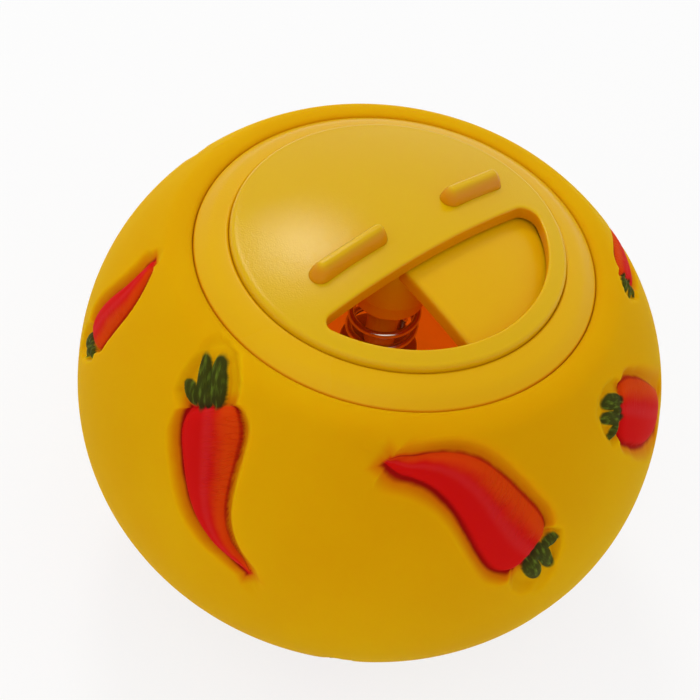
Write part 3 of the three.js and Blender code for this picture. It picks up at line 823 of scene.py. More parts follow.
@dataclass(frozen=True)
class PaintedVinyl:
    """Soft yellow vinyl with red and green paint on the carrots, a painted highlight on their
    roots, painted shade round them and at the lip, and a painted glow on its inner side.
    """

    name: str = "painted_vinyl"
    yellow: Colour = linear(223, 169, 3)
    deep_yellow: Colour = linear(219, 161, 2)
    red: Colour = linear(204, 16, 16)
    dark_red: Colour = linear(160, 12, 10)
    # painted highlight: the pale pink streak of sheen down the roots
    sheen_pink: Colour = linear(214, 62, 64)
    orange: Colour = linear(214, 70, 8)
    # orange round the paint: partly overspray, partly painted shade in the pockets and at the lip
    overspray_and_shade: Colour = linear(212, 104, 4)
    green: Colour = linear(4, 46, 20)
    pale_green: Colour = linear(96, 128, 40)
    # painted glow of the hollow's inner side
    painted_glow: Colour = (0.2, 0.041, 0.0006)
    roughness: float = 0.65
    gloss: float = 0.03
    scatter: float = 0.8
    scatter_depth: float = 2.2
    overspray: float = 0.38
    wobble: float = 0.35
    tooth: float = 0.06
    crease: float = 0.14

    def carrot_masks(self, shape: CarrotShape) -> bpy.types.NodeTree:
        """Where the paint lies, from the carrot map's along and across values.

        Args:
            shape: The carrot's outline.

        Returns:
            A node group that gives the masks.
        """
        takes = {"Along": 0.0, "Across": 0.0, "Wander": 0.5, "Thin": 1.0}
        gives = ("Root", "Side", "Leaf", "Halo_and_shade", "Share")
        tree, desk, start, end = new_group("carrot_paint", takes, gives)
        across = desk.out(start, "Across")
        share = desk.out(start, "Along") / shape.length + 0.5
        # the outline's curves, brought to between 0 and 1 for their nodes
        held = desk.math("MULTIPLY", share, 1.0, clamp=True)
        shares = np.linspace(0, 1, 13)
        widest, bows = 5.0, 6.0
        wide = desk.curve(held, shares, shape.width_at(shares) / widest) * widest
        bow = desk.curve(held, shares, shape.bow_at(shares) / bows + 0.5)
        off = across - (bow - 0.5) * bows
        wobble = (desk.out(start, "Wander") - 0.5) * self.wobble
        ends = desk.math("MAXIMUM", share * -shape.length, (share - 1.0) * shape.length)
        out = desk.math("MAXIMUM", abs(off) - (wide + wobble), ends + wobble)
        over = desk.ease(off * desk.out(start, "Thin"), -1.0, 1.5, self.overspray, 0.0)
        reach = share * -shape.length / shape.tuft
        leaf = None
        for t0, t1, k0, k1, half in shape.leaves:
            run = (reach - k0) / (k1 - k0)
            side = (across - (run * (t1 - t0) + t0)) / (half * 0.92)
            ahead = run * 2.0 - 1.0
            beyond = side * side + ahead * ahead + wobble * 2.4
            blade = desk.ease(beyond, 0.75, 1.2, 1.0, 0.0)
            leaf = blade if leaf is None else desk.math("MAXIMUM", leaf, blade)
        made = {
            "Root": desk.ease(out - over, -0.2, 0.3, 1.0, 0.0),
            # partly overspray, partly painted shade on the pocket's slopes
            "Halo_and_shade": desk.ease(out, 0.2, 1.7, 1.0, 0.0),
            "Side": off / desk.math("MAXIMUM", wide, 0.2),
            "Share": share,
            "Leaf": leaf,
        }
        desk.fill(end, made)
        return tree

    def material(self, shape: CarrotShape) -> bpy.types.Material:
        """Builds the vinyl.

        Args:
            shape: The carrot's outline, for the paint.

        Returns:
            The material.
        """
        made, desk, shader = blank_material(self.name)
        grain = desk.group(moulded_grain(), {"Fine scale": 4200.0, "Fine share": 0.35})
        along, across = (value * 100.0 for value in desk.chart("carrot"))
        thin, _ = desk.chart("spray")
        hollow, lip = desk.chart("inside")
        takes = {"Along": along, "Across": across, "Thin": thin, "Wander": desk.noise(420.0, 2.0)}
        paint = desk.group(self.carrot_masks(shape), takes)
        root = desk.out(paint, "Root")
        side = desk.out(paint, "Side") * thin
        # the root: a dark edge on its thick side, a painted highlight as a pale pink streak down
        # its middle, and orange where the paint is thin
        flesh = desk.mix(desk.ease(side, -1.1, -0.85), self.dark_red, self.red)
        painted_sheen = desk.ease(side, -0.3, -0.05) * desk.ease(side, 0.0, 0.3, 1.0, 0.0)
        flesh = desk.mix(painted_sheen * 0.22, flesh, self.sheen_pink)
        patchy = side + (desk.noise(260.0, 3.0) - 0.5) * 0.6
        flesh = desk.mix(desk.ease(patchy, 0.1, 0.72) * 0.85, flesh, self.orange)
        # a dark line along the thin edge: partly paint pooled against the pocket's wall, partly
        # painted shadow of that steep wall
        line = desk.ease(side, 0.86, 0.95) * desk.ease(side, 1.0, 1.14, 1.0, 0.0)
        flesh = desk.mix(line * 0.7, flesh, self.dark_red)
        # the leaves, with strands along them
        strands = desk.noise(1.0, 3.0, desk.pair(along * 0.5, across * 1.9))
        blade = desk.mix(desk.ease(strands, 0.45, 0.8), self.green, self.pale_green)
        # the bare vinyl, deeper orange round the paint, partly overspray and partly painted shade
        # on the pockets' slopes, and painted shade at the lip beside the groove
        drift = desk.ease(desk.out(grain, "Drift"), 0.35, 0.65)
        skin = desk.mix(drift, self.deep_yellow, self.yellow)
        overspray_and_shade_mask = desk.out(paint, "Halo_and_shade") * desk.ease(side, -1.2, 1.2, 0.95, 0.6)
        skin = desk.mix(overspray_and_shade_mask, skin, self.overspray_and_shade)
        # painted shade at the lip, where it meets the groove round the lid
        skin = desk.mix(lip * 0.15, skin, self.overspray_and_shade)
        skin = desk.mix(root, skin, flesh)
        skin = desk.mix(desk.out(paint, "Leaf") * 0.94, skin, blade)
        # a few fine rings across the root, where the paint is thin
        rings = abs(desk.noise(1.0, 1.0, desk.pair(along * 1.5, across * 0.22)) - 0.5)
        where = desk.ease(side, -0.3, 0.4)
        where = where * desk.ease(desk.out(paint, "Share"), 0.4, 0.7, 1.0, 0.0) * root
        creases = (desk.ease(rings, 0.0, 0.05) - 1.0) * where
        tooth = desk.bump(desk.out(grain, "Height"), 0.35, self.tooth)
        # painted glow: the inner side of the wall gives off orange light, standing in for light
        # that comes through the soft wall
        painted_glow = desk.mix(hollow, (0.0, 0.0, 0.0), self.painted_glow)
        look = {
            "Base Color": skin,
            "Roughness": self.roughness,
            "Specular IOR Level": self.gloss,
            "Specular Tint": (1.0, 0.8, 0.3),
            "Subsurface Weight": self.scatter,
            "Subsurface Radius": (1.0, 0.75, 0.1),
            "Subsurface Scale": self.scatter_depth * MM,
            "Emission Color": painted_glow,
            "Emission Strength": 1.0,
            "Normal": desk.bump(creases, 0.7, self.crease, tooth),
        }
        desk.fill(shader, look)
        return made


@dataclass(frozen=True)
class LidPlastic:
    """Rigid satin plastic, a little paler than the ball, with painted orange shade on its steep
    walls.
    """

    name: str
    yellow: Colour = linear(230, 179, 4)
    deep_yellow: Colour = linear(226, 173, 3)
    # the painted shade's colour on steep walls
    edge: Colour = linear(214, 112, 2)
    wall_shade_share: float = 0.6
    roughness: float = 0.26
    gloss: float = 0.12
    scatter: float = 0.5
    scatter_depth: float = 0.6
    fine_share: float = 0.9
    tooth: float = 0.045

    def material(self) -> bpy.types.Material:
        """Builds the plastic.

        Returns:
            The material.
        """
        made, desk, shader = blank_material(self.name)
        grain = desk.group(moulded_grain(), {"Fine scale": 5200.0, "Fine share": self.fine_share})
        drift = desk.out(grain, "Drift")
        skin = desk.mix(desk.ease(drift, 0.3, 0.7), self.deep_yellow, self.yellow)
        # painted shade: steep walls and grooves are tinted orange where shade falls in them
        steep, _ = desk.chart("edge")
        look = {
            "Base Color": desk.mix(steep * self.wall_shade_share, skin, self.edge),
            "Roughness": desk.ease(drift, 0.2, 0.8, self.roughness - 0.03, self.roughness + 0.04),
            "Specular IOR Level": self.gloss,
            "Specular Tint": (1.0, 0.97, 0.72),
            "Subsurface Weight": self.scatter,
            "Subsurface Radius": (1.0, 0.8, 0.2),
            "Subsurface Scale": self.scatter_depth * MM,
            "Normal": desk.bump(desk.out(grain, "Height"), 0.5, self.tooth),
        }
        desk.fill(shader, look)
        return made


@dataclass(frozen=True)
class Steel:
    """Bare steel, drawn or rolled."""

    name: str
    colour: Colour
    roughness: float

    def material(self) -> bpy.types.Material:
        """Builds the steel.

        Returns:
            The material.
        """
        made, desk, shader = blank_material(self.name)
        wear = desk.noise(600.0, 4.0)
        dull = tuple(c * 0.82 for c in self.colour)
        look = {
            "Base Color": desk.mix(desk.ease(wear, 0.35, 0.7), self.colour, dull),
            "Metallic": 1.0,
            "Roughness": desk.ease(wear, 0.3, 0.7, self.roughness, self.roughness + 0.1),
            "Normal": desk.bump(desk.noise(2500.0, 2.0), 0.15, 0.02),
        }
        desk.fill(shader, look)
        return made


def mark_shaded_walls(piece: bpy.types.Object, rim: float = math.inf) -> None:
    """Writes how steep the surface is to the UV map "edge", above the skirt only, as the mask of
    the plastic's painted shade.

    Args:
        piece: The piece.
        rim: Distance from the axis beyond which the mark is weaker.
    """
    flat, steep, at_rim, lowest = 0.78, 0.4, 0.3, 52.0
    mesh = piece.data
    loops = read(mesh.loops, "vertex_index", 1)
    up = read(mesh.vertices, "normal", 3)[loops, 2]
    places = corners(piece)[loops]
    mark = np.clip((flat - up) / (flat - steep), 0, 1)
    mark = mark * np.where(np.hypot(places[:, 0], places[:, 1]) > rim, at_rim, 1.0)
    mark = mark * (places[:, 2] > lowest)
    write_map(mesh, "edge", mark, mark)


def finish_piece(
    piece: bpy.types.Object, body: Body, material: bpy.types.Material
) -> None:
    """Dresses a piece and hands it to its body.

    Args:
        piece: The piece.
        body: The body that it rides on.
        material: Its material.
    """
    piece.data.materials.clear()
    piece.data.materials.append(material)
    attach(piece, body.value)
    LOG.info("%s: %d vertices, rides on %s", piece.name, len(piece.data.vertices), body.value)


# The pieces


@dataclass
class Ball:
    """The soft hollow ball. Lip, seat and neck heights are above the girth."""

    radius: float = 37.5
    crown: float = 32.6
    base: float = 30.8
    fullness: float = 2.13
    wall: float = 2.2
    shoulder_radius: float = 28.6
    shoulder_round: float = 1.4
    lip_height: float = 23.35
    mouth: float = 24.85
    seat_height: float = 21.4
    neck_radius: float = 21.6
    neck_height: float = 19.2
    neck_reach: float = 26.4
    hollow_top: float = 27.9
    foot_rings: tuple[float, ...] = (0.0, 1.5, 3.0, 4.5, 6.0, 7.0)
    lip_edge: Profile = ((0.3, -0.04), (0.1, -0.16), (0.0, -0.42))
    ring_step: float = 0.75
    steps: int = 300
    shape: CarrotShape = field(default_factory=CarrotShape)
    finish: PaintedVinyl = field(default_factory=PaintedVinyl)

    def side(self, inset: float, low: float, high: float, count: int) -> Profile:
        """Points on the ball's curve between two angles.

        Args:
            inset: How far inside the outer surface the curve runs.
            low: First angle, in radians.
            high: Last angle.
            count: How many steps.

        Returns:
            Radius and height of each point.
        """
        made = []
        power = 2 / self.fullness
        for angle in np.linspace(low, high, count + 1):
            rise = (self.crown if angle > 0 else self.base) - inset
            height = rise * abs(math.sin(angle)) ** power * (1 if angle > 0 else -1)
            made.append(((self.radius - inset) * abs(math.cos(angle)) ** power, GIRTH + height))
        return made

    def angle_at(self, radius: float, inset: float = 0.0) -> float:
        """The angle at which the curve has come in to a radius above the girth."""
        return math.acos((radius / (self.radius - inset)) ** (self.fullness / 2))

    def shoulder(self, shares: np.ndarray) -> list[np.ndarray]:
        """The rounded shoulder, from the ball's curve to the lip.

        Args:
            shares: Shares of the way over it.

        Returns:
            Radius and height of each point.
        """
        angle = self.angle_at(self.shoulder_radius)
        lip = GIRTH + self.lip_height
        a = np.array(self.side(0.0, angle, angle, 0)[0])
        b = np.array([self.shoulder_radius - self.shoulder_round, lip + 0.15])
        c = np.array([self.mouth, lip])
        return [a * (1 - t) ** 2 + 2 * b * t * (1 - t) + c * t * t for t in shares]

    def profile(self) -> Profile:
        """The whole section of the ball.

        Returns:
            Radius and height of each corner, outer side first.
        """
        foot = -math.asin((GIRTH / self.base) ** (self.fullness / 2))
        rough = np.array(self.side(0.0, foot, self.angle_at(self.shoulder_radius), 400))
        run = np.cumsum(np.hypot(*np.diff(rough, axis=0).T))[-1]
        outer = evenly(rough, int(run / self.ring_step) + 1, closed=False)
        lip = GIRTH + self.lip_height
        seat, neck = GIRTH + self.seat_height, GIRTH + self.neck_height
        inner_angle = self.angle_at(self.hollow_top, self.wall)
        inner = self.side(self.wall, inner_angle, -math.pi / 2, 26)
        return [
            *((r, 0.0) for r in self.foot_rings),
            *map(tuple, outer),
            *map(tuple, self.shoulder(np.linspace(0.1, 0.86, 9))),
            *((self.mouth + out, lip + up) for out, up in self.lip_edge),
            (self.mouth, seat),
            (self.neck_radius, seat),
            (self.neck_radius, neck),
            (self.neck_reach, neck),
            *inner[:-1],
            (0.0, inner[-1][1]),
        ]

    def level(self, p: np.ndarray) -> np.ndarray:
        """How far in or out of the outer surface points lie.

        Args:
            p: The points.

        Returns:
            Below zero inside the surface, above zero outside, near zero on it.
        """
        height = p[:, 2] - GIRTH
        r = np.hypot(p[:, 0], p[:, 1])
        rise = np.where(height > 0, self.crown, self.base)
        side = (r / self.radius) ** self.fullness + (np.abs(height) / rise) ** self.fullness - 1
        line = np.array(self.shoulder(np.linspace(0, 1, 60)))
        over = (p[:, 2] - np.interp(r, line[::-1, 0], line[::-1, 1])) / self.radius
        top = (r <= self.shoulder_radius) & (height > 0) & (r >= self.mouth - 0.01)
        return np.where(top, np.maximum(side, over), side)

    def normal(self, p: np.ndarray) -> np.ndarray:
        """The outward normal of the ball's curve.

        Args:
            p: The points.

        Returns:
            A unit vector for each.
        """
        height = p[:, 2] - GIRTH
        r = np.maximum(np.hypot(p[:, 0], p[:, 1]), 1e-6)
        rise = np.where(height > 0, self.crown, self.base)
        out = (r / self.radius) ** (self.fullness - 1) / self.radius
        up = np.sign(height) * (np.abs(height) / rise) ** (self.fullness - 1) / rise
        made = np.stack([p[:, 0] / r * out, p[:, 1] / r * out, up], axis=1)
        return made / np.linalg.norm(made, axis=1, keepdims=True)

    def on_carrot(
        self, p: np.ndarray, place: CarrotPlace, reach: float = 20.0
    ) -> tuple[np.ndarray, np.ndarray, np.ndarray]:
        """Where points lie on one carrot.

        Args:
            p: The points.
            place: The carrot.
            reach: How far across the carrot a point may lie to be near it.

        Returns:
            The distances along and across in the carrot's own millimetres, and which of the
            points are near it.
        """
        turn, heading = math.radians(place.turn), math.radians(place.heading)
        rise = self.crown if place.height > 0 else self.base
        r = self.radius * (1 - abs(place.height) ** self.fullness) ** (1 / self.fullness)
        height = GIRTH + place.height * rise
        middle = np.array([r * math.cos(turn), r * math.sin(turn), height])
        up = self.normal(middle[None])[0]
        east = np.array([-math.sin(turn), math.cos(turn), 0.0])
        north = np.cross(up, east)
        forward = east * math.cos(heading) + north * math.sin(heading)
        away = p - middle
        s = away @ forward / place.size
        t = away @ np.cross(up, forward) / place.size
        near = (self.normal(p) @ up > 0.3) & (np.abs(s) < 20) & (np.abs(t) < reach)
        return s, t, near

    def refine(self, piece: bpy.types.Object) -> None:
        """Subdivides the faces on and round the carrots.

        Args:
            piece: The ball, still smooth.
        """
        take(piece)
        mesh = piece.data
        centre = read(mesh.polygons, "center", 3) / MM
        outer = np.abs(self.level(centre)) < 0.02
        chosen = np.zeros(len(centre), dtype=bool)
        for place in CARROT_PLACES:
            s, t, near = self.on_carrot(centre, place, 10)
            along, across = self.shape.straighten(s, t, place)
            sunken = self.shape.relief(along, across * 0.88, place.thin) < -0.001
            chosen |= outer & near & sunken
        for items in (mesh.vertices, mesh.edges):
            items.foreach_set("select", np.zeros(len(items), dtype=bool))
        mesh.polygons.foreach_set("select", chosen)
        bpy.ops.object.mode_set(mode="EDIT")
        bpy.ops.mesh.select_mode(type="FACE")
        bpy.ops.mesh.subdivide(number_cuts=2)
        bpy.ops.mesh.select_mode(type="VERT")
        bpy.ops.object.mode_set(mode="OBJECT")

    def sink_carrots(self, piece: bpy.types.Object) -> None:
        """Presses the carrots into the outer surface.

        Args:
            piece: The ball, still smooth.
        """
        p = corners(piece)
        outer = np.abs(self.level(p)) < 0.012
        near_lip = np.clip((np.hypot(p[:, 0], p[:, 1]) - self.mouth - 0.35) / 1.2, 0, 1)
        fade = np.where(p[:, 2] > GIRTH + 15, near_lip, 1.0)
        depth = np.zeros(len(p))
        for place in CARROT_PLACES:
            s, t, near = self.on_carrot(p, place, 9)
            here = outer & near
            found = np.zeros(len(p))
            along, across = self.shape.straighten(s[here], t[here], place)
            found[here] = self.shape.relief(along, across, place.thin) * place.depth
            depth = np.where(np.abs(found) > np.abs(depth), found, depth)
        place_corners(piece, p + self.normal(p) * (depth * fade)[:, None])

    def map_paint(self, piece: bpy.types.Object, flat: np.ndarray) -> None:
        """Writes the UV maps that the finish reads.

        "carrot" holds each face corner's place along and across its nearest carrot, "spray" that
        carrot's thinly sprayed side, and "inside" where the hollow's painted glow and the lip's
        painted shade lie.

        Args:
            piece: The ball.
            flat: The vertices before the carrots were pressed in.
        """
        mesh = piece.data
        corner = read(mesh.loops, "vertex_index", 1)
        counts = read(mesh.polygons, "loop_total", 1)
        face_of = np.repeat(np.arange(len(counts)), counts)
        p = flat[corner]
        totals = np.zeros((len(counts), 3))
        np.add.at(totals, face_of, p)
        centre = totals / counts[:, None]
        outer = np.abs(self.level(centre)) < 0.02
        best = np.full(len(counts), 1e9)
        chosen = np.full(len(counts), -1)
        for i, place in enumerate(CARROT_PLACES):
            s, t, near = self.on_carrot(centre, place, 11)
            far = np.hypot(np.clip(np.abs(s + 2) - 12, 0, None), t)
            near &= outer & (far < best)
            best[near] = far[near]
            chosen[near] = i
        values = np.full((3, len(corner)), 1.0)
        for i, place in enumerate(CARROT_PLACES):
            at = chosen[face_of] == i
            s, t, _ = self.on_carrot(p[at], place)
            along, across = self.shape.straighten(s, t, place)
            values[:, at] = along / 100, across / 100, np.full(len(s), place.thin)
        r = np.hypot(p[:, 0], p[:, 1])
        height = p[:, 2] - GIRTH
        below_neck = (height < self.neck_height + 0.1) & (r < self.radius - 1)
        lip = np.clip((self.mouth + 0.9 - r) / 0.7, 0, 1) * (height > self.seat_height + 0.3)
        write_map(mesh, "carrot", values[0], values[1])
        write_map(mesh, "spray", values[2], values[2])
        # the hollow carries the painted glow, the lip band the painted shade
        write_map(mesh, "inside", (self.level(p) < -0.05) & below_neck, lip)
        mesh.uv_layers.active = mesh.uv_layers["carrot"]

    def build(self) -> None:
        """Turns, presses and dresses the ball."""
        piece = turned("ball_skin", self.profile(), self.steps, 50)
        self.refine(piece)
        flat = corners(piece)
        self.sink_carrots(piece)
        self.map_paint(piece, flat)
        settle(piece, 75)
        finish_piece(piece, Body.BALL, self.finish.material(self.shape))
        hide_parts("ball_body")


@dataclass
class DomeCurve:
    """The dial's dome, which the shutter follows below it."""

    radius: float = 73.0
    apex: float = 59.3

    def height(self, r: np.ndarray | float) -> np.ndarray | float:
        """Height of the dome's top above the foot at a distance from the axis."""
        return self.apex - r * r / (2 * self.radius)

    def over(self, places: np.ndarray) -> np.ndarray:
        """Height of the dome's top over places, one row each."""
        return self.height(np.hypot(places[:, 0], places[:, 1]))


@dataclass
class Lid:
    """The snap-in ring with its half-round shutter and hub.

    flange_edge, flange_inner, ledge_top, hub_step and hub_nose are heights above the girth.
    """

    flange_radius: float = 24.8
    flange_edge: float = 23.2
    flange_inner: float = 25.45
    thickness: float = 1.5
    well: float = 20.65
    ledge_top: float = 23.88
    ledge_thickness: float = 1.6
    opening: float = 18.0
    skirt: float = 21.1
    skirt_wall: float = 1.8
    skirt_depth: float = 4.2
    bead: float = 0.25
    overlap: float = 3.3
    shutter_reach: float = 18.28
    shutter_drop: float = 2.2
    shutter_thickness: float = 2.0
    edge_round: float = 0.8
    hub_radius: float = 5.2
    nose_radius: float = 4.6
    hub_bore: float = 2.4
    hub_step: float = 18.65
    hub_nose: float = 16.45
    dome: DomeCurve = field(default_factory=DomeCurve)
    finish: LidPlastic = field(default_factory=lambda: LidPlastic("lid_plastic"))

    def ring(self) -> bpy.types.Object:
        """The flange, ledge and skirt in one turned ring.

        Returns:
            The ring.
        """
        edge, floor = GIRTH + self.flange_edge, GIRTH + self.ledge_top
        crest = GIRTH + self.flange_inner
        under = edge - self.thickness
        inner = self.skirt - self.skirt_wall
        foot = under - self.skirt_depth
        points = [
            (self.opening, floor - self.ledge_thickness),
            (inner, floor - 2.2),
            (inner, foot),
            (self.skirt - 0.5, foot),
            (self.skirt + self.bead, foot + 0.7),
            (self.skirt, foot + 1.2),
            (self.skirt, under),
            (self.flange_radius, under),
            (self.flange_radius, edge),
            ((self.flange_radius + self.well) / 2 + 0.3, (edge + crest) / 2 + 0.195),
            (self.well, crest),
            (self.well, floor),
            (self.opening, floor),
        ]
        rounding = {2: 0.3, 3: 0.2, 4: 0.3, 6: 0.2, 7: 0.2, 8: 0.6, 9: 4.0, 10: 0.35, 12: 0.15}
        return turned("lid_ring", rounded(points, rounding), 256)

    def shutter(self) -> bpy.types.Object:
        """The half-round shutter: a sheet bent to the dome and extruded.

        Returns:
            The shutter, its straight edge rounded.
        """
        piece = grid("lid_shutter", 90, 120)
        p = corners(piece)
        # a fifth of the columns lies in the rounded edge's first twentieth
        u = (p[:, 0] + 1) / 2
        u = np.where(u < 0.2, u / 0.2 * 0.05, 0.05 + (u - 0.2) / 0.8 * 0.95)
        x = -self.overlap + u * (self.shutter_reach - 0.02 + self.overlap)
        y = p[:, 1] * np.sqrt(np.clip(self.shutter_reach**2 - x**2, 0, None))
        edge = np.clip(1 - (x + self.overlap) / self.edge_round, 0, 1)
        top = self.dome.height(np.hypot(x, y)) - self.shutter_drop
        lowered = self.edge_round * (1 - np.sqrt(1 - edge**2))
        place_corners(piece, np.stack([x, y, top - lowered], axis=1))
        edit_all(piece)
        down = {"value": (0, 0, -self.shutter_thickness * MM)}
        bpy.ops.mesh.extrude_region_move(TRANSFORM_OT_translate=down)
        close_up()
        p = corners(piece)
        under = self.dome.over(p) - self.shutter_drop - self.shutter_thickness
        p[:, 2] = np.where(p[:, 2] < under + 0.01, under, p[:, 2])
        place_corners(piece, p)
        return settle(piece)

    def hub(self) -> bpy.types.Object:
        """The hub under the shutter, bored for the dial's post.

        Returns:
            The hub.
        """
        top = self.dome.apex - self.shutter_drop - 0.6
        step, nose = GIRTH + self.hub_step, GIRTH + self.hub_nose
        points = [
            (self.hub_bore, nose),
            (self.nose_radius, nose),
            (self.nose_radius, step),
            (self.hub_radius, step + 0.3),
            (self.hub_radius, top),
            (self.hub_bore, top),
        ]
        return turned("lid_hub", rounded(points, {1: 0.35, 0: 0.2, 3: 0.2}), 96)

    def build(self) -> None:
        """Builds and dresses the lid."""
        material = self.finish.material()
        pieces = [self.ring(), self.shutter(), self.hub()]
        for piece in pieces:
            mark_shaded_walls(piece)
            finish_piece(piece, Body.LID, material)
        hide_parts("lid_frame")


@dataclass
class Dial:
    """The turning dome with its half-moon window, grips and post.

    A grip runs between two places along the dial's diameter, beside the window. post_low is a
    height above the girth.
    """

    radius: float = 20.64
    thickness: float = 1.8
    rim_round: float = 0.7
    window_radius: float = 18.2
    window_offset: float = 5.0
    wide_corner: float = 1.8
    tight_corner: float = 1.2
    window_round: float = 0.4
    window_rings: tuple[float, ...] = (0.0, 0.03, 0.1, 0.2, 0.32, 0.5)
    edge_wall: float = 1.4
    grip_width: float = 2.3
    grip_height: float = 2.1
    grip_fillet: float = 0.25
    grip_fullness: float = 0.42
    grips: Profile = ((-14.3, -3.3), (6.9, 16.3))
    post_radius: float = 2.0
    post_low: float = 8.35
    pilot_radius: float = 1.5
    pilot_depth: float = 7.3
    around: int = 360
    spread: int = 34
    dome: DomeCurve = field(default_factory=DomeCurve)
    finish: LidPlastic = field(
        default_factory=lambda: LidPlastic(
            "dial_plastic", linear(223, 179, 5), linear(220, 174, 4), roughness=0.17, gloss=0.17
        )
    )

    def corner(self, rounding: float) -> tuple[float, float, float]:
        """The middle of one of the window's corner roundings, on the right.

        Args:
            rounding: The corner's radius.

        Returns:
            Its two coordinates and its direction from the axis.
        """
        y = -self.window_offset - rounding
        x = math.sqrt((self.window_radius - rounding) ** 2 - y * y)
        return x, y, math.atan2(y, x)

    def window_line(self, grow: float = 0.0) -> np.ndarray:
        """The window's outline, evenly spaced along its length.

        Args:
            grow: How far outside the window the line runs.

        Returns:
            The points, going round with the window on the left.
        """
        wide, tight = self.corner(self.wide_corner), self.corner(self.tight_corner)
        lean = math.pi - tight[2]
        start = lean - 2 * math.pi
        top = math.pi / 2
        points = [
            *arc((0, 0), self.window_radius + grow, start, wide[2], 400),
            *arc(wide, self.wide_corner + grow, wide[2], top, 60),
            *arc((-tight[0], tight[1]), self.tight_corner + grow, top, lean, 40),
        ]
        return evenly(np.array(points + points[:1]), self.around, closed=True)

    def cap_rings(self) -> list[np.ndarray]:
        """The cap's rings, from the foot of the window's wall out to the foot of the rim's.

        Returns:
            The places of each ring.
        """
        rings: list[np.ndarray] = []
        line = self.window_line()
        for low in (self.edge_wall, self.edge_wall / 2):
            rings.append(np.column_stack([line, self.dome.over(line) - self.window_round - low]))
        for grow in self.window_rings:
            line = self.window_line(grow)
            left = max(0.0, 1 - grow / self.window_round)
            drop = self.window_round * (1 - math.sqrt(max(0.0, 1 - left**2)))
            rings.append(np.column_stack([line, self.dome.over(line) - drop]))
        last = rings[-1][:, :2]
        # the rim's ring is matched to the window's by direction from a point inside the window
        middle = np.array([0.0, -9.0])
        angle = np.arctan2(last[:, 1] - middle[1], last[:, 0] - middle[0])
        ray = np.stack([np.cos(angle), np.sin(angle)], axis=1)
        limit = self.radius - self.rim_round
        b = ray @ middle
        far = -b + np.sqrt(b * b - (middle @ middle - limit**2))
        rim = middle + ray * far[:, None]
        for k in range(1, self.spread + 1):
            flat = last + (rim - last) * (k / self.spread)
            rings.append(np.column_stack([flat, self.dome.over(flat)]))
        out = rim / np.linalg.norm(rim, axis=1, keepdims=True)
        for k in range(1, 6):
            a = k / 5 * math.pi / 2
            flat = out * (limit + self.rim_round * math.sin(a))
            z = self.dome.height(limit) - self.rim_round * (1 - math.cos(a))
            rings.append(np.column_stack([flat, np.full(len(flat), z)]))
        for low in (self.edge_wall / 2, self.edge_wall):
            rings.append(np.column_stack([flat, np.full(len(flat), z - low)]))
        return rings

    def cap(self) -> bpy.types.Object:
        """The domed disc: a sheet laid out ring by ring, closed and thickened.

        Returns:
            The cap.
        """
        rings = self.cap_rings()
        columns, rows = self.around - 1, len(rings) - 1
        piece = grid("dial_cap", columns, rows)
        p = corners(piece)
        column = np.rint((p[:, 0] + 1) / 2 * columns).astype(int)
        row = np.rint((p[:, 1] + 1) / 2 * rows).astype(int)
        place_corners(piece, np.array(rings)[row, column])
        self.close_seam(piece, column)
        wall = piece.modifiers.new("wall", "SOLIDIFY")
        wall.thickness = self.edge_wall * MM
        wall.offset = -1
        apply_modifiers(piece)
        return settle(piece)

    def close_seam(self, piece: bpy.types.Object, column: np.ndarray) -> None:
        """Bridges the sheet's first and last columns, so that it closes round the window.

        Args:
            piece: The sheet.
            column: Each vertex's column.
        """
        take(piece)
        last = column.max()
        for vertex, at in zip(piece.data.vertices, column):
            vertex.select = bool(at in (0, last))
        for edge in piece.data.edges:
            a, b = (column[v] for v in edge.vertices)
            edge.select = bool(a == b and a in (0, last))
        for face in piece.data.polygons:
            face.select = False
        bpy.ops.object.mode_set(mode="EDIT")
        bpy.ops.mesh.select_mode(type="EDGE")
        bpy.ops.mesh.bridge_edge_loops()
        bpy.ops.mesh.select_mode(type="VERT")
        close_up()
        # an open sheet has no outside, so it may have turned face down
        if read(piece.data.polygons, "normal", 3)[:, 2].mean() < 0:
            edit_all(piece)
            bpy.ops.mesh.flip_normals()
            bpy.ops.object.mode_set(mode="OBJECT")

    def grip(self, index: int, start: float, end: float) -> bpy.types.Object:
        """One grip: a ball drawn out to a bar, set on the dome.

        Args:
            index: Its number.
            start: Where it starts along the dial's diameter.
            end: Where it ends.

        Returns:
            The grip.
        """
        half = self.grip_width / 2
        foot = half + self.grip_fillet
        deselect()
        bpy.ops.mesh.primitive_uv_sphere_add(segments=64, ring_count=48, radius=half * MM)
        piece = named(f"dial_grip_{index}")
        p = corners(piece)
        # each ring's place across the bar, and the height of a soft bar that runs out in a fillet
        polar = np.arccos(np.clip(p[:, 2] / half, -1, 1))
        equator = math.pi / 2
        out = np.clip(polar / equator, 0, 1)
        wide = foot * out / np.maximum(np.sin(polar), 1e-6)
        wide = np.where(polar > equator, foot / half, wide / half)
        wide = np.where(np.abs(np.sin(polar)) < 1e-5, 0.0, wide)
        fall = 0.5 * (1 + np.cos(math.pi * np.clip((out - 0.1) / 0.9, 0, 1)))
        low = np.where(polar > equator, -0.3 * (polar / equator - 1), 0.0)
        p[:, 0] *= wide
        p[:, 1] *= wide
        p[:, 2] = self.grip_height * fall**self.grip_fullness + low - 0.02
        p[:, 0] += np.where(p[:, 0] > 1e-6, end - half, start + half)
        p[:, 2] += self.dome.over(p)
        place_corners(piece, p)
        return settle(piece, 60)

    def post(self) -> bpy.types.Object:
        """The post that runs down through the hub, with a pilot hole for the screw.

        Returns:
            The post.
        """
        low, high = GIRTH + self.post_low, self.dome.apex - self.thickness + 0.6
        points = [
            (self.pilot_radius, low),
            (self.post_radius, low),
            (self.post_radius, high),
            (0.0, high),
            (0.0, low + self.pilot_depth),
            (self.pilot_radius, low + self.pilot_depth),
        ]
        return turned("dial_post", rounded(points, {1: 0.2}), 48)

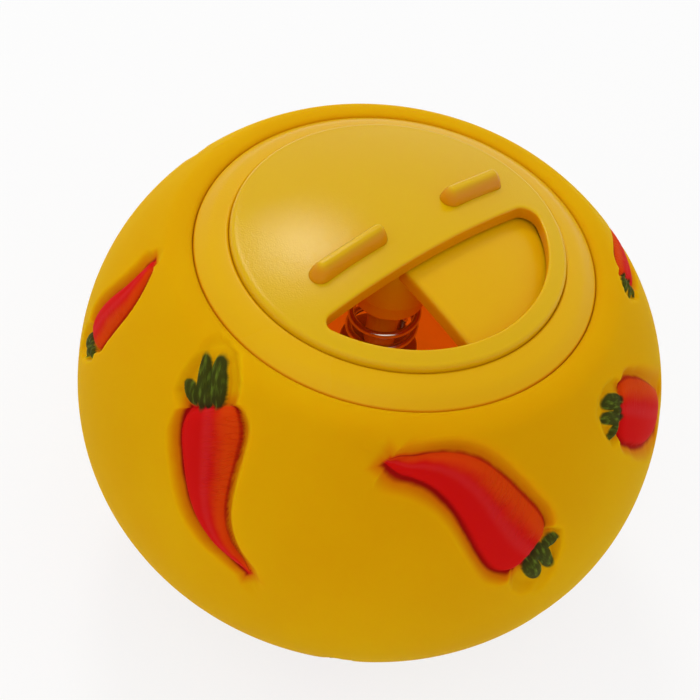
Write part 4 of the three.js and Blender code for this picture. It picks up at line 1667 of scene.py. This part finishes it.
    def build(self) -> None:
        """Builds the dial, turns it to its place over the shutter and dresses it."""
        material = self.finish.material()
        pieces = [self.cap(), self.post()]
        pieces += [self.grip(i + 1, a, b) for i, (a, b) in enumerate(self.grips)]
        for piece in pieces:
            turn_round(piece)
            mark_shaded_walls(piece, self.radius - 1.2)
            finish_piece(piece, Body.DIAL, material)
        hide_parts("dial")


@dataclass
class Fastening:
    """The spring, washer and screw that hold the dial down.

    spring_top is a height above the girth.
    """

    wire: float = 0.9
    coil_radius: float = 4.15
    turns: float = 2.25
    pitch: float = 2.4
    spring_top: float = 16.15
    gap: float = 0.3
    bore: float = 1.5
    washer_radius: float = 5.0
    washer_thickness: float = 0.8
    head_radius: float = 2.8
    head_height: float = 1.7
    shank_radius: float = 1.2
    shank_length: float = 7.4
    drive: tuple[float, float, float] = (3.4, 0.8, 1.9)

    @property
    def washer_top(self) -> float:
        """Height of the washer's upper side above the foot."""
        bottom = self.spring_top - self.turns * self.pitch - 3 * self.wire
        return GIRTH + bottom - self.gap

    def spring(self) -> bpy.types.Object:
        """The coil, as a round wire drawn along its helix with closed ends.

        Returns:
            The coil.
        """
        low = self.washer_top + self.gap
        high = GIRTH + self.spring_top
        ends = (0.0, 0.5 * self.wire, self.wire)
        guides = [(0.0, low + rise) for rise in ends]
        steps = round(self.turns * 16)
        rise = high - low - 3 * self.wire
        start = low + 1.5 * self.wire
        guides += [(k / steps, start + rise * k / steps) for k in range(steps + 1)]
        guides += [(1.0, high - rise) for rise in reversed(ends)]
        r, turn = self.coil_radius, 2 * math.pi * self.turns
        marks = [(r * math.cos(k * turn), r * math.sin(k * turn), z) for k, z in guides]
        points = smooth_line(marks, 6)
        line = bpy.data.curves.new("dial_coil", "CURVE")
        line.dimensions = "3D"
        spline = line.splines.new("POLY")
        spline.points.add(len(points) - 1)
        for point, place in zip(spline.points, points):
            point.co = (*(c * MM for c in place), 1)
        line.bevel_depth = self.wire / 2 * MM
        line.bevel_resolution = 5
        line.use_fill_caps = True
        piece = bpy.data.objects.new("dial_coil", line)
        bpy.context.collection.objects.link(piece)
        take(piece)
        bpy.ops.object.convert(target="MESH")
        return settle(bpy.context.object, 50)

    def washer(self) -> bpy.types.Object:
        """The flat washer under the spring.

        Returns:
            The washer.
        """
        top = self.washer_top
        low = top - self.washer_thickness
        points = [
            (self.bore, low), (self.washer_radius, low), (self.washer_radius, top), (self.bore, top)
        ]
        return turned("spring_plate", rounded(points, {0: 0.1, 1: 0.2, 2: 0.2, 3: 0.1}, 3), 96)

    def screw(self) -> bpy.types.Object:
        """The screw, with a cross sunk in its head.

        Returns:
            The screw.
        """
        top = self.washer_top - self.washer_thickness - self.gap
        low = top - self.head_height
        points = [
            (0, low),
            (self.head_radius - 0.9, low),
            (self.head_radius, low + 0.95),
            (self.head_radius, top),
            (self.shank_radius, top),
            (self.shank_radius, top + self.shank_length),
            (0, top + self.shank_length + 0.8),
        ]
        piece = turned("screw_body", rounded(points, {1: 0.5, 2: 0.3, 3: 0.1}, 4), 64)
        for turn in (0.0, math.pi / 2):
            deselect()
            bpy.ops.mesh.primitive_cube_add(size=MM, location=(0, 0, low * MM))
            bar = bpy.context.object
            bar.scale = self.drive
            bar.rotation_euler = (0, 0, turn)
            settle(bar)
            cut = piece.modifiers.new("drive", "BOOLEAN")
            cut.object = bar
            cut.operation = "DIFFERENCE"
            apply_modifiers(piece)
            bpy.data.objects.remove(bar)
        return settle(piece)

    def build(self) -> None:
        """Builds and dresses the three steel pieces."""
        bright = Steel("spring_wire", linear(214, 206, 190), 0.16).material()
        plain = Steel("zinc_steel", linear(190, 184, 172), 0.3).material()
        spring, washer, screw = self.spring(), self.washer(), self.screw()
        for piece in (spring, washer, screw):
            turn_round(piece)
        finish_piece(spring, Body.DIAL, bright)
        finish_piece(washer, Body.DIAL, plain)
        finish_piece(screw, Body.DIAL, plain)
        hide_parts("dial_spring")
        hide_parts("spring_washer")
        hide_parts("centre_screw")


def direction(azimuth: float, elevation: float) -> Vector:
    """A direction away from the object.

    Args:
        azimuth: Degrees round it, with 0 in front.
        elevation: Degrees above the floor.

    Returns:
        A unit vector.
    """
    a, e = math.radians(azimuth - 90), math.radians(elevation)
    return Vector((math.cos(e) * math.cos(a), math.cos(e) * math.sin(a), math.sin(e)))


@dataclass(frozen=True)
class Lamp:
    """A square soft lamp that faces the ball: degrees, metres and watts."""

    name: str
    azimuth: float
    elevation: float
    distance: float
    size: float
    power: float
    aim: float = 0.03

    def build(self) -> None:
        """Sets up the lamp."""
        light = bpy.data.lights.new(self.name, "AREA")
        light.size = self.size
        light.energy = self.power
        seat = bpy.data.objects.new(self.name, light)
        bpy.context.collection.objects.link(seat)
        away = direction(self.azimuth, self.elevation)
        seat.location = away * self.distance + Vector((0, 0, self.aim))
        seat.rotation_euler = away.to_track_quat("Z", "Y").to_euler()


@dataclass
class Studio:
    """Camera, lamps, floor and sky. The camera's angles are degrees, its distance millimetres."""

    azimuth: float = -48.9
    elevation: float = 47.96
    roll: float = 12.01
    distance: float = 300.0
    image: float = 700.0
    focal_pixels: float = 2319.0
    centre_pixel: tuple[float, float] = (369.69, 380.95)
    sensor: float = 36.0
    sky_strength: float = 0.7
    lamps: tuple[Lamp, ...] = (
        Lamp("key", 157.5, 51.5, 0.8, 0.17, 1.4),
        Lamp("front", -73.9, 50, 0.9, 0.8, 1.2),
    )

    def camera(self) -> None:
        """Sets the camera at the photograph's angle."""
        lens = bpy.data.cameras.new("camera")
        seat = bpy.data.objects.new("camera", lens)
        bpy.context.collection.objects.link(seat)
        lens.sensor_width = self.sensor
        lens.lens = self.focal_pixels / self.image * self.sensor
        lens.shift_x = -(self.centre_pixel[0] - self.image / 2) / self.image
        lens.shift_y = (self.centre_pixel[1] - self.image / 2) / self.image
        lens.clip_start = 0.01
        lens.clip_end = 20
        away = direction(self.azimuth, self.elevation)
        back = away.normalized()
        right = Vector((0, 0, 1)).cross(back).normalized()
        up = back.cross(right)
        turn = math.radians(self.roll)
        rolled_up = up * math.cos(turn) - right * math.sin(turn)
        rolled_right = right * math.cos(turn) + up * math.sin(turn)
        place = Vector((0, 0, GIRTH * MM)) + away * self.distance * MM
        axes = Matrix((rolled_right, rolled_up, back)).transposed().to_4x4()
        seat.matrix_world = Matrix.Translation(place) @ axes
        bpy.context.scene.camera = seat

    def seen_directly(self, desk: Desk) -> Signal:
        """One where the camera sees the surface itself, in a reflection or through glass.

        Args:
            desk: The desk of the floor or the sky.

        Returns:
            One or zero.
        """
        path = desk.node("ShaderNodeLightPath")
        camera, glossy, through = (
            desk.out(path, f"Is {ray} Ray") for ray in ("Camera", "Glossy", "Transmission")
        )
        return desk.math("MAXIMUM", desk.math("MAXIMUM", camera, glossy), through)

    def floor(self) -> None:
        """A plain white floor that keeps a soft shadow."""
        deselect()
        bpy.ops.mesh.primitive_plane_add(size=6.0, location=(0, 0, -0.00005))
        piece = named("floor")
        made = bpy.data.materials.new("white_floor")
        made.use_nodes = True
        desk = Desk(made.node_tree)
        made.node_tree.nodes.clear()
        matt = desk.make("ShaderNodeBsdfDiffuse", {"Color": (0.9, 0.9, 0.9)})
        white = desk.make("ShaderNodeEmission", {"Strength": 1.0})
        takes = {0: self.seen_directly(desk) * 0.8, 1: matt, 2: white}
        out = desk.node("ShaderNodeOutputMaterial")
        desk.fill(out, {0: desk.make("ShaderNodeMixShader", takes)})
        piece.data.materials.append(made)

    def sky(self) -> None:
        """Even pale light from all round, white where it is seen."""
        world = bpy.data.worlds.new("studio")
        bpy.context.scene.world = world
        world.use_nodes = True
        desk = Desk(world.node_tree)
        strength = desk.ease(self.seen_directly(desk), 0.0, 1.0, self.sky_strength, 1.0)
        back = world.node_tree.nodes["Background"]
        desk.fill(back, {"Color": (1.0, 1.0, 1.0), "Strength": strength})

    def build(self) -> None:
        """Sets up the whole studio."""
        self.camera()
        for lamp in self.lamps:
            lamp.build()
        self.floor()
        self.sky()
        bpy.context.scene.view_settings.view_transform = "Standard"


def main() -> None:
    """Builds the studio and every piece in order."""
    logging.basicConfig(level=logging.INFO, format="%(name)s: %(message)s")
    for part in (Studio(), Ball(), Lid(), Dial(), Fastening()):
        part.build()


if __name__ == "__main__":
    main()
